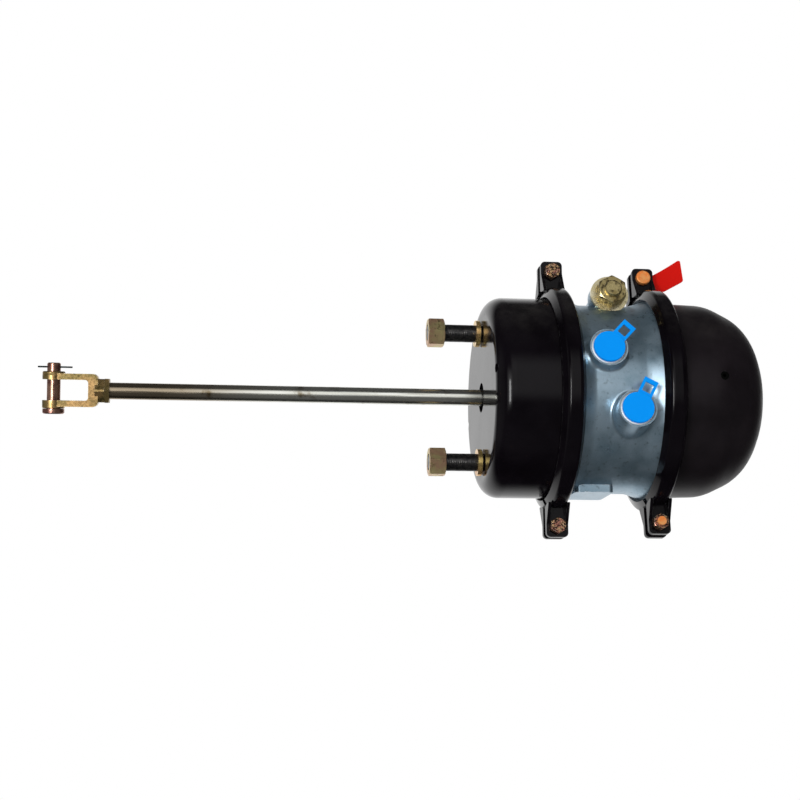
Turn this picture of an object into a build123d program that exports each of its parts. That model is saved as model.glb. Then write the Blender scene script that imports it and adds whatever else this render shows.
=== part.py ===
"""Double-diaphragm spring brake chamber (type 30/30) with a long push rod and clevis.

Millimetres. The origin is the centre of the mounting face. The chamber lies along +X, the
push rod points to -X, the mounting studs and the ears of the front clamp lie in the XZ plane,
and the air ports open towards -Y. It is drawn parked: power spring extended, push rod right
out.
"""

import os
from itertools import pairwise
from math import cos, pi, radians, sin, sqrt

from build123d import *

# ---------------------------------------------------------------- driving sizes
RUN = 0.3                     # gap between pieces that move against each other
PIN_FIT = 0.05                # radial clearance of a shaft or a pin in its bore
SEAT = 0.03                   # radial clearance of a piece that is fixed in its bore

# clamped joints
CLAMP_1_X = 66.5              # service diaphragm plane
CLAMP_2_X = 157.5             # spring diaphragm plane
CLAMP_2_TURN = 7.0            # the rear clamp is turned this far about the chamber
CLAMP_WALL = 3.0
CLAMP_CROWN_R = 103.0
CLAMP_DEPTH = 9.0             # crown to feet
CLAMP_FOOT_R = CLAMP_CROWN_R - CLAMP_DEPTH
CLAMP_CROWN_HALF = 6.0        # half width of the band at its crown
CLAMP_FOOT_HALF = 10.5        # half width of the band at its feet
CLAMP_BEND = 4.0
BEAD_HALF = 2.4               # half thickness of a clamped diaphragm bead
BAND_GAP = 9.0                # gap between the two half bands
EAR_T = 5.0
EAR_WIDTH = 20.0
EAR_LENGTH = 26.0             # ear beyond the crown
EAR_CORNER = 4.0
EAR_R = CLAMP_CROWN_R + EAR_LENGTH
EAR_BOLT_EDGE = 10.0          # bolt from the ear's end
EAR_BOLT_R = EAR_R - EAR_BOLT_EDGE
GUSSET_T = 3.0
GUSSET_Y = 20.0               # where a gusset runs into the band
GUSSET_DROP = 12.0            # gusset below the ear's end
GUSSET_ROOT = 3.5             # gusset's foot below the crown
CLAMP_BOLT_R = 4.0
CLAMP_HOLE_FIT = 0.3
CLAMP_NUT_AF = 13.0
CLAMP_NUT_H = 6.8
CLAMP_HEAD_R = 6.9
CLAMP_HEAD_H = 4.2
CLAMP_HEAD_EDGE = 1.4
CLAMP_BOLT_TAIL = 2.5         # thread beyond the nut

# mounting studs
STUD_PCD = 120.65             # 4.75 in
STUD_R = 8.0                  # M16
STUD_LENGTH = 49.5
STUD_CORE_R = 7.5             # pitch radius, where a nut or washer sits
STUD_SHANK_R = 8.3            # pressed shank in the housing
STUD_SHANK_STANDS = 0.2       # how far the shank stands out of the face
STUD_HEAD_R = 11.0
STUD_HEAD_T = 4.5
STUD_HEAD_ROOM = 4.675        # flat left round the head, inside the housing
NUT_AF = 24.0
NUT_T = 15.0
LOCK_R = 12.3
LOCK_T = 4.0
LOCK_SPLIT = 2.2
LOCK_SEAT = 1.2               # stand-off of the sprung washer from the face

# stamped housings
HOUSING_STEP = 2.0            # wall below the clamp's feet
HOUSING_R = CLAMP_FOOT_R - HOUSING_STEP
HOUSING_WALL = 3.0
HOUSING_CORNER = HOUSING_R - STUD_PCD / 2 - STUD_HEAD_R - STUD_HEAD_ROOM
ROD_HOLE_R = 13.6             # hole that lets the push rod swing
LIP_BEND = 1.0
DRAIN_R = 4.0
DRAIN_INSET = 13.0            # drain holes from the outer wall
DRAIN_COUNT = 2
DOME_STEP = 3.5               # dome's flange below the clamp's feet
DOME_R = CLAMP_FOOT_R - DOME_STEP
DOME_WALL = 3.6
DOME_END_X = 253.0
DOME_SHOULDER = (48.0, 0.985)   # corner of the profile: ahead of the end, share of the radius
DOME_HAUNCH = (13.0, 0.8)       # next corner, given the same way
DOME_REAR_SHARE = 0.49          # last corner, at the end
DOME_BENDS = (45.0, 50.0, 30.0)
DOME_HOLE_R = 16.0            # hole for the release bolt
DOME_DISH = 4.5               # how far the rear centre is set in
DOME_RIM_R = 29.0             # dish at the rear plane
DOME_DISH_R = 24.0            # dish at its floor
DOME_DISH_BEND = 5.0
VENT_R = 3.9
VENT_X = 203.0
VENT_ACROSS = -6.0
VENT_FLOW_R = 1.6
VENT_SET_IN = 0.8

# flange case (cast aluminium body between the diaphragms)
CASE_STEP = 7.0               # case wall below the clamp's feet
CASE_R = CLAMP_FOOT_R - CASE_STEP
CASE_WALL = 7.5
CASE_LIP_T = 3.0
CASE_LIP_ROOT = (1.5, 2.0)    # root of a lip: beyond it, below the clamp's feet
CASE_RAMPS = (20.0, 22.0)     # from a joint plane to the plain wall
CASE_BENDS = (3.0, 10.0, 12.0, 4.0)
CASE_CAVITY_R = CASE_R - CASE_WALL
CASE_DRAFT = 3.0
CASE_RECESS_STEP = 9.5
CASE_RECESS_R = CASE_CAVITY_R - CASE_RECESS_STEP   # narrower well on the spring side
CASE_RECESS_END_X = 130.0
CASE_RECESS_RAMP = 10.0
WELL_BEND = 6.0
WEB_X = 84.0
WEB_T = 8.0
WEB_HUB_R = 25.0
WEB_HUB_HALF = 8.0            # hub length each side of its middle
PAD_STANDS = 3.0
PAD_Z = CASE_R + PAD_STANDS   # cast pad below the case
PAD_X = (80.5, 115.5)
PAD_HALF_Y = 26.0
PAD_CORNER = 4.0

# air ports and release-bolt pocket: their axes lean upwards from -Y
PORT_TILT = 8.0
PORT_THREAD_R = 11.0          # M22 x 1.5
PORT_DEPTH = 15.0
PORT_BOSS_R = 17.0
BOSS_FLARE = 4.0              # cast radius where a boss meets the case
PORT_MOUTH_R = 12.6           # counterbore that the cap plugs into
PORT_MOUTH_DEPTH = 4.5
PORT_STANDS = 3.5
PORT_FACE = CLAMP_FOOT_R + PORT_STANDS   # boss face from the chamber axis, along the port
PASSAGE_R = 4.0
PASSAGE_LEAN = 60.0           # the service passage leans to the front well
PASSAGE_LENGTH = 40.0
PORT_REACH = 31.5             # service port behind the front joint plane
PORT_REACH_REAR = 37.5        # spring port ahead of the rear joint plane
PORTS = {                     # x, offset across the port axis
    "service": (CLAMP_1_X + PORT_REACH, 15.0),
    "spring": (CLAMP_2_X - PORT_REACH_REAR, -41.0),
}
CAP_R = 14.0
CAP_T = 2.6
TAB_LENGTH = 15.0
TAB_WIDTH = 13.0
CAP_EDGE = 0.8
CAP_SKIRT_WALL = 1.6
TAB_THINNER = 1.0             # tab against the cap
TAB_START = 8.0               # where the tab leaves the cap
TAB_BARS = (6.0, 5.0)         # material left round the tab's window, along and across
TAB_ANGLES = {"service": 47.0, "spring": 62.0}   # from +X in the face of the cap
POCKET_X = 114.0
POCKET_INSET = 2.0
POCKET_OFFSET = CASE_R - POCKET_INSET   # pocket axis from the chamber axis
POCKET_FACE = 47.0            # washer face along the pocket axis
POCKET_BACK = -77.0           # far end of the pocket
POCKET_TUBE_R = 13.5
POCKET_BORE_R = 9.0
POCKET_RIM_R = 17.0
POCKET_RIM_T = 12.0

# push rod and clevis
ROD_R = 7.5
ROD_END_X = -352.0
PLATE_INSET = 28.0
PLATE_R = HOUSING_R - PLATE_INSET
PLATE_T = 3.2
PLATE_X = 8.8                 # push plate, side facing the rod
CLEVIS_PIN_X = -386.5
CLEVIS_TURN = 12.0            # the yoke is turned about the rod
CLEVIS_GAP = 18.6
CLEVIS_ARM_T = 5.5
CLEVIS_EYE_T = 7.3
CLEVIS_EYE_R = 10.0
CLEVIS_BRIDGE = (-355.6, -347.0)
CLEVIS_HUB_END = -341.8
CLEVIS_HUB_AF = 21.0
JAM_T = 4.7
JAM_AF = 21.5
PIN_R = 6.0
PIN_HEAD_R = 9.75
PIN_HEAD_T = 4.5
PIN_TAIL = 7.7                # length beyond the upper eye
COTTER_WIRE_R = 0.75
COTTER_LEG = 16.0
COTTER_EYE_R = 2.4

# inner train
DIAPHRAGM_T = 3.2
BEAD_DEPTH = 1.5              # bead inside the clamp's feet
ROLL_LENGTH = 31.0            # how far the service diaphragm's roll reaches forward
ADAPTER_ROD_R = 14.0
ADAPTER_FOOT_R = 30.0
ADAPTER_FOOT_T = 5.0
ADAPTER_BORE_WALL = 4.0
ADAPTER_PLATE_R = CASE_RECESS_R - 10.0
ADAPTER_PLATE_T = 4.0
ADAPTER_PLATE_X = 99.0
BUSHING_WALL = 4.0
SEAL_WIRE_R = 1.3
RING_T = 1.2
PISTON_R = CASE_RECESS_R - 8.0
PISTON_T = 4.2
PISTON_HUB_R = 16.0
PISTON_HUB_L = 24.0
POWER_WIRE_R = 6.3
POWER_TURNS = 5.0
POWER_R_FRONT = PISTON_R - 10.0
POWER_TAPER = 16.0
POWER_R_REAR = POWER_R_FRONT - POWER_TAPER
RETURN_WIRE_R = 2.2
RETURN_TURNS = 3.0
RETURN_RISE = 1.5             # length left between the first and the last turn
PLUG_DEPTH = 9.0
PLUG_HEAD_T = 3.0
PLUG_HEAD_R = 20.0

# release bolt
BOLT_R = 7.9
BOLT_NUT_AF = 24.0
BOLT_NUT_T = 13.0
BOLT_TAIL = 3.0               # bolt end beyond the nut
BOLT_WASHER_R = 17.5
BOLT_WASHER_T = 3.5
BOLT_LUG_HALF = 12.5
BOLT_LUG_T = 8.0

# warning tag on the upper rear clamp bolt
TAG_T = 1.0
TAG_CORNER = 2.0
TAG_POINTS = (                # from the bolt: along the chamber, outwards
    (-7.0, -6.5), (-6.0, 6.5), (8.0, 5.0), (37.0, 18.0), (38.5, -2.5), (21.5, -10.5), (6.0, -8.5),
)

# ---------------------------------------------------------------- derived sizes
FLANK = (CLAMP_FOOT_HALF - CLAMP_CROWN_HALF) / (CLAMP_CROWN_R - CLAMP_FOOT_R)
BAND_INNER_FOOT = CLAMP_FOOT_HALF - CLAMP_WALL * sqrt(1 + FLANK**2)
LOCK_X = (-LOCK_SEAT - LOCK_T, -LOCK_SEAT)
DIAPHRAGM_1_X = PLATE_X + PLATE_T + RUN
FOOT_X = DIAPHRAGM_1_X + DIAPHRAGM_T + RUN
DIAPHRAGM_2_X = ADAPTER_PLATE_X + ADAPTER_PLATE_T + RUN
PISTON_X = DIAPHRAGM_2_X + DIAPHRAGM_T + RUN
WEB_MID = WEB_X + WEB_T / 2
BUSHING_R = ADAPTER_ROD_R + PIN_FIT + BUSHING_WALL


def lip_radius(half):
    """Outer radius of a clamped lip whose outer face lies this far from the joint plane."""
    return CLAMP_FOOT_R + (BAND_INNER_FOOT - half) / FLANK


def outline(points, radii=0.0):
    """Closed flat outline through the points, with rounded corners where radii are given."""
    rounded = radii if isinstance(radii, (int, float)) else any(radii)
    if rounded:
        return make_face(FilletPolyline(*points, radius=radii, close=True))
    return make_face(Polyline(*points, close=True))


def turned(points, radii=0.0, arc=360.0):
    """Solid of revolution about the chamber axis; points are (x, radius)."""
    return revolve(outline(points, radii), axis=Axis.X, revolution_arc=arc)


def pressed(points, radii, wall, side):
    """Revolved sheet of one thickness, laid along a path of (x, radius) points."""
    path = FilletPolyline(*points, radius=radii)
    return revolve(make_face(offset(path, amount=wall, side=side, closed=True)), axis=Axis.X)


def disc(radius, start, end, x_axis=True):
    """Round bar between two places on the chamber axis."""
    return Location((start, 0, 0), (0, 90, 0)) * extrude(Circle(radius), end - start)


def ring(outer, inner, start, end):
    """Round tube on the chamber axis."""
    return disc(outer, start, end) - disc(inner, start - 1, end + 1)


def hexagon(across_flats):
    """Hexagon of the given width across its flats, with two flats along the first axis."""
    return RegularPolygon(across_flats / 2, 6, major_radius=False, rotation=30)


def hex_nut(across_flats, thickness, bore_r):
    """Hexagon nut from z = 0 up, with both corner chamfers."""
    corner_r = across_flats / sqrt(3)
    edge = corner_r - across_flats / 2
    blank = extrude(hexagon(across_flats), thickness)
    cone = revolve(
        make_face(
            Polyline(
                (0, 0), (corner_r - edge, 0), (corner_r, edge / 2),
                (corner_r, thickness - edge / 2), (corner_r - edge, thickness), (0, thickness),
                close=True,
            )
        ),
        axis=Axis.Y,
    )
    cone = Rotation(90, 0, 0) * cone
    return (blank & cone) - Pos(0, 0, -1) * extrude(Circle(bore_r), thickness + 2)


def along_x(shape, x):
    """Stands a shape that was built along +Z on the chamber axis at x, pointing to +X."""
    return Location((x, 0, 0), (0, 90, 0)) * shape


def port_place(x, offset_across, distance):
    """Place on a leaning side axis, its Z pointing outwards and its X along the chamber."""
    tilt = radians(PORT_TILT)
    out = Vector(0, -cos(tilt), sin(tilt))
    across = Vector(0, sin(tilt), cos(tilt))
    origin = Vector(x, 0, 0) + out * distance + across * offset_across
    return Location(Plane(origin=origin, x_dir=(1, 0, 0), z_dir=out))


def side_bar(radius, x, offset_across, start, end):
    """Round bar along a leaning side axis."""
    return port_place(x, offset_across, start) * extrude(Circle(radius), end - start)


def coil(wire_r, radius_start, radius_end, x_start, x_end, turns, steps=10):
    """Coil spring about the chamber axis, from a smooth curve through computed points."""
    count = int(turns * steps)
    points = [
        (
            x_start + (x_end - x_start) * i / count,
            (radius_start + (radius_end - radius_start) * i / count) * cos(2 * pi * i / steps),
            (radius_start + (radius_end - radius_start) * i / count) * sin(2 * pi * i / steps),
        )
        for i in range(count + 1)
    ]
    path = Spline(*points)
    section = Plane(origin=path @ 0, z_dir=path % 0) * Circle(wire_r)
    return sweep(section, path=path, is_frenet=True)


# ---------------------------------------------------------------- housings
def service_housing():
    """Stamped cup with the mounting face, rod hole, stud holes and drain holes."""
    lip = BEAD_HALF + HOUSING_WALL
    shell = pressed(
        [(0, ROD_HOLE_R), (0, HOUSING_R), (CLAMP_1_X - lip, HOUSING_R),
         (CLAMP_1_X - lip, lip_radius(lip))],
        [HOUSING_CORNER, LIP_BEND], HOUSING_WALL, Side.RIGHT,
    )
    for side in (1, -1):
        shell -= Pos(0, 0, side * STUD_PCD / 2) * disc(STUD_SHANK_R + SEAT, -1, HOUSING_WALL + 1)
    for i in range(DRAIN_COUNT):
        angle = 180 - PORT_TILT + i * 360 / DRAIN_COUNT
        shell -= Rotation(angle, 0, 0) * Pos(0, HOUSING_R - DRAIN_INSET, 0) * disc(
            DRAIN_R, -1, 2 * HOUSING_CORNER
        )
    return shell


def dome_corners():
    """Corners of the dome's outside profile, from its flange to the rear plane."""
    flange = (CLAMP_2_X + BEAD_HALF + DOME_WALL, DOME_R)
    slopes = [(DOME_END_X - back, DOME_R * share) for back, share in (DOME_SHOULDER, DOME_HAUNCH)]
    return [flange, *slopes, (DOME_END_X, DOME_R * DOME_REAR_SHARE)]


def dome_radius(x):
    """Radius of the dome's cornered outside profile at a place along the chamber."""
    corners = dome_corners()
    for (x_1, r_1), (x_2, r_2) in pairwise(corners):
        if x <= x_2:
            return r_1 + (r_2 - r_1) * (x - x_1) / (x_2 - x_1)
    return corners[-1][1]


def spring_housing():
    """Stamped dome over the power spring, set in at its rear centre, with a vent hole."""
    corners = dome_corners()
    floor_x = DOME_END_X - DOME_DISH
    shell = pressed(
        [(corners[0][0], lip_radius(BEAD_HALF + DOME_WALL)), *corners, (DOME_END_X, DOME_RIM_R),
         (floor_x, DOME_DISH_R), (floor_x, DOME_HOLE_R)],
        [LIP_BEND, *DOME_BENDS, DOME_DISH_BEND, LIP_BEND], DOME_WALL, Side.RIGHT,
    )
    return shell - side_bar(VENT_R, VENT_X, VENT_ACROSS, DOME_R - 3 * DOME_WALL, DOME_R + DOME_WALL)


def case_blank():
    """Turned form of the flange case, and the two wells that are cut out of it."""
    face_1, face_2 = CLAMP_1_X + BEAD_HALF, CLAMP_2_X - BEAD_HALF
    lip = BEAD_HALF + CASE_LIP_T
    lip_r = lip_radius(lip)
    beyond, below = CASE_LIP_ROOT
    root = lip + beyond
    outside = turned(
        [(face_1, 0), (face_1, lip_r), (CLAMP_1_X + lip, lip_r),
         (CLAMP_1_X + root, CLAMP_FOOT_R - below), (CLAMP_1_X + CASE_RAMPS[0], CASE_R),
         (CLAMP_2_X - CASE_RAMPS[1], CASE_R), (CLAMP_2_X - root, CLAMP_FOOT_R - below),
         (CLAMP_2_X - lip, lip_r), (face_2, lip_r), (face_2, 0)],
        [0, 0, LIP_BEND, *CASE_BENDS, LIP_BEND, 0, 0],
    )
    hub_edge_r = WEB_HUB_R - 1
    service_well = turned(
        [(0, 0), (0, CASE_CAVITY_R), (WEB_X, CASE_CAVITY_R - CASE_DRAFT), (WEB_X, WEB_HUB_R),
         (WEB_MID - WEB_HUB_HALF, hub_edge_r), (WEB_MID - WEB_HUB_HALF, 0)],
        [0, 0, WELL_BEND, 2, 1, 0],
    )
    spring_well = turned(
        [(WEB_MID + WEB_HUB_HALF, 0), (WEB_MID + WEB_HUB_HALF, hub_edge_r),
         (WEB_X + WEB_T, WEB_HUB_R), (WEB_X + WEB_T, CASE_RECESS_R),
         (CASE_RECESS_END_X, CASE_RECESS_R),
         (CASE_RECESS_END_X + CASE_RECESS_RAMP, CASE_CAVITY_R),
         (CLAMP_2_X + EAR_WIDTH, CASE_CAVITY_R), (CLAMP_2_X + EAR_WIDTH, 0)],
        [0, 1, 2, WELL_BEND, 4, 4, 0, 0],
    )
    return outside, service_well + spring_well


def blended(body, boss, radius):
    """Joins a cast boss to a body, with a cast radius along the seam."""
    joined = body + boss
    seam = (joined.edges() - body.edges() - boss.edges()).filter_by(GeomType.BSPLINE)
    return fillet(seam, radius)


def flange_case():
    """Cast body with port bosses, release-bolt pocket, lower pad and the rod bore."""
    body, wells = case_blank()
    for x, across in PORTS.values():
        body = blended(
            body, side_bar(PORT_BOSS_R, x, across, CASE_R / 2, PORT_FACE), BOSS_FLARE
        )
    body += side_bar(POCKET_TUBE_R, POCKET_X, POCKET_OFFSET, POCKET_BACK, POCKET_FACE)
    body += side_bar(
        POCKET_RIM_R, POCKET_X, POCKET_OFFSET, POCKET_FACE - POCKET_RIM_T, POCKET_FACE
    )
    pad_mid, pad_length = sum(PAD_X) / 2, PAD_X[1] - PAD_X[0]
    body += Pos(pad_mid, 0, -PAD_Z) * extrude(
        RectangleRounded(pad_length, 2 * PAD_HALF_Y, PAD_CORNER), PAD_Z / 2
    )
    body -= wells
    body -= disc(BUSHING_R, 0, CLAMP_2_X)
    groove_x = WEB_MID + WEB_HUB_HALF - 2 * RING_T
    body -= disc(BUSHING_R + RING_T, groove_x, groove_x + RING_T + SEAT)
    for x, across in PORTS.values():
        body -= side_bar(PORT_MOUTH_R, x, across, PORT_FACE - PORT_MOUTH_DEPTH, PORT_FACE + 1)
        body -= side_bar(PORT_THREAD_R, x, across, PORT_FACE - PORT_DEPTH, PORT_FACE)
    body -= side_bar(POCKET_BORE_R, POCKET_X, POCKET_OFFSET, POCKET_BACK - 1, POCKET_FACE + 1)
    body -= side_bar(
        BOLT_WASHER_R + 1, POCKET_X, POCKET_OFFSET, POCKET_FACE, POCKET_FACE + PORT_FACE
    )
    passage_end = PORT_FACE - PORT_DEPTH + 1
    x, across = PORTS["spring"]
    body -= side_bar(PASSAGE_R, x, across, CASE_RECESS_R / 2, passage_end)
    lean = Rotation(0, -PASSAGE_LEAN, 0) * Pos(0, 0, -PASSAGE_LENGTH)
    body -= port_place(*PORTS["service"], passage_end) * lean * extrude(
        Circle(PASSAGE_R), PASSAGE_LENGTH
    )
    return body


# ---------------------------------------------------------------- clamp bands
def clamp_band(x):
    """Whole V-section band before it is split into two halves."""
    return pressed(
        [(x - CLAMP_FOOT_HALF, CLAMP_FOOT_R), (x - CLAMP_CROWN_HALF, CLAMP_CROWN_R),
         (x + CLAMP_CROWN_HALF, CLAMP_CROWN_R), (x + CLAMP_FOOT_HALF, CLAMP_FOOT_R)],
        [CLAMP_BEND, CLAMP_BEND], CLAMP_WALL, Side.RIGHT,
    )


def clamp_ear(x, up):
    """One ear with its bolt hole and two gussets, on the -Y side of the split."""
    face_y = -BAND_GAP / 2
    back_y = face_y - EAR_T
    root_r = CLAMP_CROWN_R - CLAMP_WALL / 2
    middle_r = (EAR_R + root_r) / 2
    height = EAR_R - root_r
    rounded = RectangleRounded(EAR_WIDTH, height + 2 * EAR_CORNER, EAR_CORNER)
    plate = (Pos(0, -EAR_CORNER) * rounded) & Rectangle(EAR_WIDTH, height)
    plate -= Pos(0, EAR_BOLT_R - middle_r) * Circle(CLAMP_BOLT_R + CLAMP_HOLE_FIT)
    ear = Pos(0, face_y, middle_r) * (Plane.XZ * extrude(plate, EAR_T))
    top_r, foot_r = EAR_R - GUSSET_DROP, CLAMP_CROWN_R - GUSSET_ROOT
    web = make_face(
        Polyline(
            (face_y, root_r), (face_y, top_r), (back_y, top_r),
            (-GUSSET_Y, foot_r), (2 - GUSSET_Y, foot_r - GUSSET_T), close=True,
        )
    )
    for web_x in (EAR_WIDTH / 2 - GUSSET_T, -EAR_WIDTH / 2):
        ear += Pos(web_x, 0, 0) * (Plane.YZ * extrude(web, GUSSET_T))
    ear -= disc(CLAMP_CROWN_R - CLAMP_WALL + 0.2, -EAR_WIDTH, EAR_WIDTH)
    ear = Pos(x, 0, 0) * ear
    return ear if up else mirror(ear, about=Plane.XY)


def clamp_half(x):
    """Near half band of the pair, with its two ears."""
    keep = Pos(x, -BAND_GAP / 2 - EAR_R, 0) * Box(2 * EAR_WIDTH, 2 * EAR_R, 4 * EAR_R)
    half = clamp_band(x) & keep
    return half + clamp_ear(x, True) + clamp_ear(x, False)


def far_side(shape):
    """The mate of a near-side piece, behind the split."""
    return mirror(shape, about=Plane.XZ)


def rear_set(shape):
    """Turns a piece of the rear clamp to its place about the chamber."""
    return Rotation(-CLAMP_2_TURN, 0, 0) * shape


def ear_place(x, start, side, forward):
    """Place on a clamp bolt's axis, its Z towards the ports when forward is 1."""
    return Location(
        Plane(
            origin=(x, forward * start, side * EAR_BOLT_R),
            x_dir=(1, 0, 0), z_dir=(0, -forward, 0),
        )
    )


def clamp_bolts(x, upper_forward):
    """Two round-headed bolts through the ears; the lower one has its head behind."""
    grip = BAND_GAP + 2 * EAR_T
    shank = extrude(Circle(CLAMP_BOLT_R), grip + CLAMP_NUT_H + CLAMP_BOLT_TAIL)
    head = Pos(0, 0, -CLAMP_HEAD_H) * extrude(Circle(CLAMP_HEAD_R), CLAMP_HEAD_H)
    head = fillet(head.faces().sort_by(Axis.Z)[0].edges(), CLAMP_HEAD_EDGE)
    bolt = head + shank
    return [
        ear_place(x, grip / 2, 1, upper_forward) * bolt, ear_place(x, grip / 2, -1, 1) * bolt
    ]


def clamp_nuts(x, upper_forward):
    """Nuts of the two clamp bolts."""
    start = -BAND_GAP / 2 - EAR_T
    nut = hex_nut(CLAMP_NUT_AF, CLAMP_NUT_H, CLAMP_BOLT_R + SEAT)
    return [ear_place(x, start, 1, upper_forward) * nut, ear_place(x, start, -1, 1) * nut]


# ---------------------------------------------------------------- rubber and springs
def bead(x):
    """Thick rim of a diaphragm, held between two lips."""
    rim_r = lip_radius(BEAD_HALF + DOME_WALL) - RUN
    return ring(rim_r, CLAMP_FOOT_R - BEAD_DEPTH, x - BEAD_HALF, x + BEAD_HALF)


def service_diaphragm():
    """Moulded diaphragm pushed to the rod end, its bead held in the front clamp."""
    rim_x = CLAMP_1_X - DIAPHRAGM_T / 2
    wall_r = HOUSING_R - HOUSING_WALL
    sheet = pressed(
        [(rim_x, CLAMP_FOOT_R), (rim_x, wall_r - 2.5), (CLAMP_1_X - ROLL_LENGTH, wall_r - 6),
         (DIAPHRAGM_1_X, PLATE_R + 4), (DIAPHRAGM_1_X, 0.0)],
        [3, 12, 12], DIAPHRAGM_T, Side.LEFT,
    )
    return sheet + bead(CLAMP_1_X)


def spring_diaphragm():
    """Moulded diaphragm of the spring side, its bead held in the rear clamp."""
    rim_x = CLAMP_2_X - DIAPHRAGM_T / 2
    sheet = pressed(
        [(rim_x, CLAMP_FOOT_R), (rim_x, CASE_CAVITY_R - 1),
         (CASE_RECESS_END_X + 6, CASE_RECESS_R - 2), (DIAPHRAGM_2_X, CASE_RECESS_R - 3),
         (DIAPHRAGM_2_X, 0.0)],
        [4, 8, 6], DIAPHRAGM_T, Side.LEFT,
    )
    return sheet + bead(CLAMP_2_X)


def power_spring():
    """Heavy conical spring between the pressure plate and the dome."""
    start = PISTON_X + PISTON_T + POWER_WIRE_R + RUN
    end = DOME_END_X - DOME_WALL - POWER_WIRE_R - RUN
    return coil(POWER_WIRE_R, POWER_R_FRONT, POWER_R_REAR, start, end, POWER_TURNS)


def service_return_spring():
    """Light conical spring, pressed flat between the housing and the push plate."""
    x = HOUSING_WALL + RUN + RETURN_WIRE_R
    return coil(
        RETURN_WIRE_R, ROD_HOLE_R + 6.4, PLATE_R - 20, x, x + RETURN_RISE / 2, RETURN_TURNS
    )


def adapter_return_spring():
    """Light conical spring, pressed flat between the web and the adapter plate."""
    x = WEB_X + WEB_T + RUN + RETURN_WIRE_R
    return coil(
        RETURN_WIRE_R, WEB_HUB_R + 5, ADAPTER_PLATE_R - 6, x, x + RETURN_RISE, RETURN_TURNS
    )


# ---------------------------------------------------------------- push rod and clevis
def push_rod():
    rod = disc(ROD_R, ROD_END_X, PLATE_X)
    return chamfer(rod.edges().group_by(Axis.X)[0], 1.2)


def push_plate():
    """Dished plate welded to the rod."""
    return turned(
        [(PLATE_X - 4, ROD_R + SEAT), (PLATE_X - 4, ROD_R + 3), (PLATE_X, ROD_R + 5),
         (PLATE_X, PLATE_R - 6), (PLATE_X + 1, PLATE_R), (PLATE_X + PLATE_T, PLATE_R),
         (PLATE_X + PLATE_T, 0), (PLATE_X + SEAT, 0), (PLATE_X + SEAT, ROD_R + SEAT)],
    )


def turned_clevis(shape):
    """Turns a piece of the clevis about the rod to its set angle."""
    return Rotation(CLEVIS_TURN, 0, 0) * shape


def clevis():
    """Forged yoke: two arms with eyes, a bridge and a hexagon hub."""
    half_gap = CLEVIS_GAP / 2
    outer = half_gap + CLEVIS_ARM_T
    length = CLEVIS_BRIDGE[1] - CLEVIS_PIN_X
    side_view = outline(
        [(CLEVIS_PIN_X - CLEVIS_EYE_R, outer), (CLEVIS_BRIDGE[1], outer),
         (CLEVIS_BRIDGE[1], -outer), (CLEVIS_PIN_X - CLEVIS_EYE_R, -outer),
         (CLEVIS_PIN_X - CLEVIS_EYE_R, -half_gap), (CLEVIS_BRIDGE[0], -half_gap),
         (CLEVIS_BRIDGE[0], half_gap), (CLEVIS_PIN_X - CLEVIS_EYE_R, half_gap)],
        [0, 5, 5, 0, 0, 3, 3, 0],
    )
    yoke = Plane.XZ * extrude(side_view, CLEVIS_EYE_R, both=True)
    plan = Pos(CLEVIS_PIN_X, 0) * Circle(CLEVIS_EYE_R)
    plan += Pos(CLEVIS_PIN_X + length / 2, 0) * Rectangle(length, 2 * CLEVIS_EYE_R - 1.5)
    yoke &= extrude(plan, 2 * outer, both=True)
    for side in (1, -1):
        eye = extrude(Circle(CLEVIS_EYE_R), CLEVIS_EYE_T)
        eye = chamfer(eye.faces().sort_by(Axis.Z)[-1].edges(), 0.8)
        eye = Pos(CLEVIS_PIN_X, 0, half_gap) * eye
        yoke += eye if side > 0 else mirror(eye, about=Plane.XY)
    hub = along_x(extrude(hexagon(CLEVIS_HUB_AF), CLEVIS_HUB_END - CLEVIS_BRIDGE[1] + 3),
                  CLEVIS_BRIDGE[1] - 3)
    yoke += hub & disc(CLEVIS_HUB_AF / sqrt(3) - 0.5, CLEVIS_BRIDGE[0], CLEVIS_HUB_END)
    yoke -= Pos(CLEVIS_PIN_X, 0, 0) * extrude(Circle(PIN_R + PIN_FIT), 3 * outer, both=True)
    yoke -= disc(ROD_R + SEAT, CLEVIS_BRIDGE[0] - 1, CLEVIS_HUB_END + 1)
    return turned_clevis(yoke)


def jam_nut():
    nut = hex_nut(JAM_AF, JAM_T, ROD_R + SEAT)
    return turned_clevis(along_x(nut, CLEVIS_HUB_END + 0.05))


def pin_levels():
    """Underside of the pin's head and its tail end, along the pin axis."""
    eye_end = CLEVIS_GAP / 2 + CLEVIS_EYE_T
    return -eye_end - RUN, eye_end + PIN_TAIL, eye_end


def clevis_pin():
    """Headed pin with a cross hole for the cotter."""
    head_z, tail_z, eye_end = pin_levels()
    pin = Pos(0, 0, head_z) * extrude(Circle(PIN_R), tail_z - head_z)
    pin = chamfer(pin.edges().group_by(Axis.Z)[-1], 1.0)
    head = Pos(0, 0, head_z - PIN_HEAD_T) * extrude(Circle(PIN_HEAD_R), PIN_HEAD_T)
    pin += chamfer(head.edges().group_by(Axis.Z)[0], 1.0)
    hole_r = 2 * COTTER_WIRE_R + PIN_FIT + 0.2
    pin -= Pos(0, 0, eye_end + PIN_TAIL / 2) * Rotation(0, 90, 0) * extrude(
        Circle(hole_r), 2 * PIN_R, both=True
    )
    return turned_clevis(Pos(CLEVIS_PIN_X, 0, 0) * pin)


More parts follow.
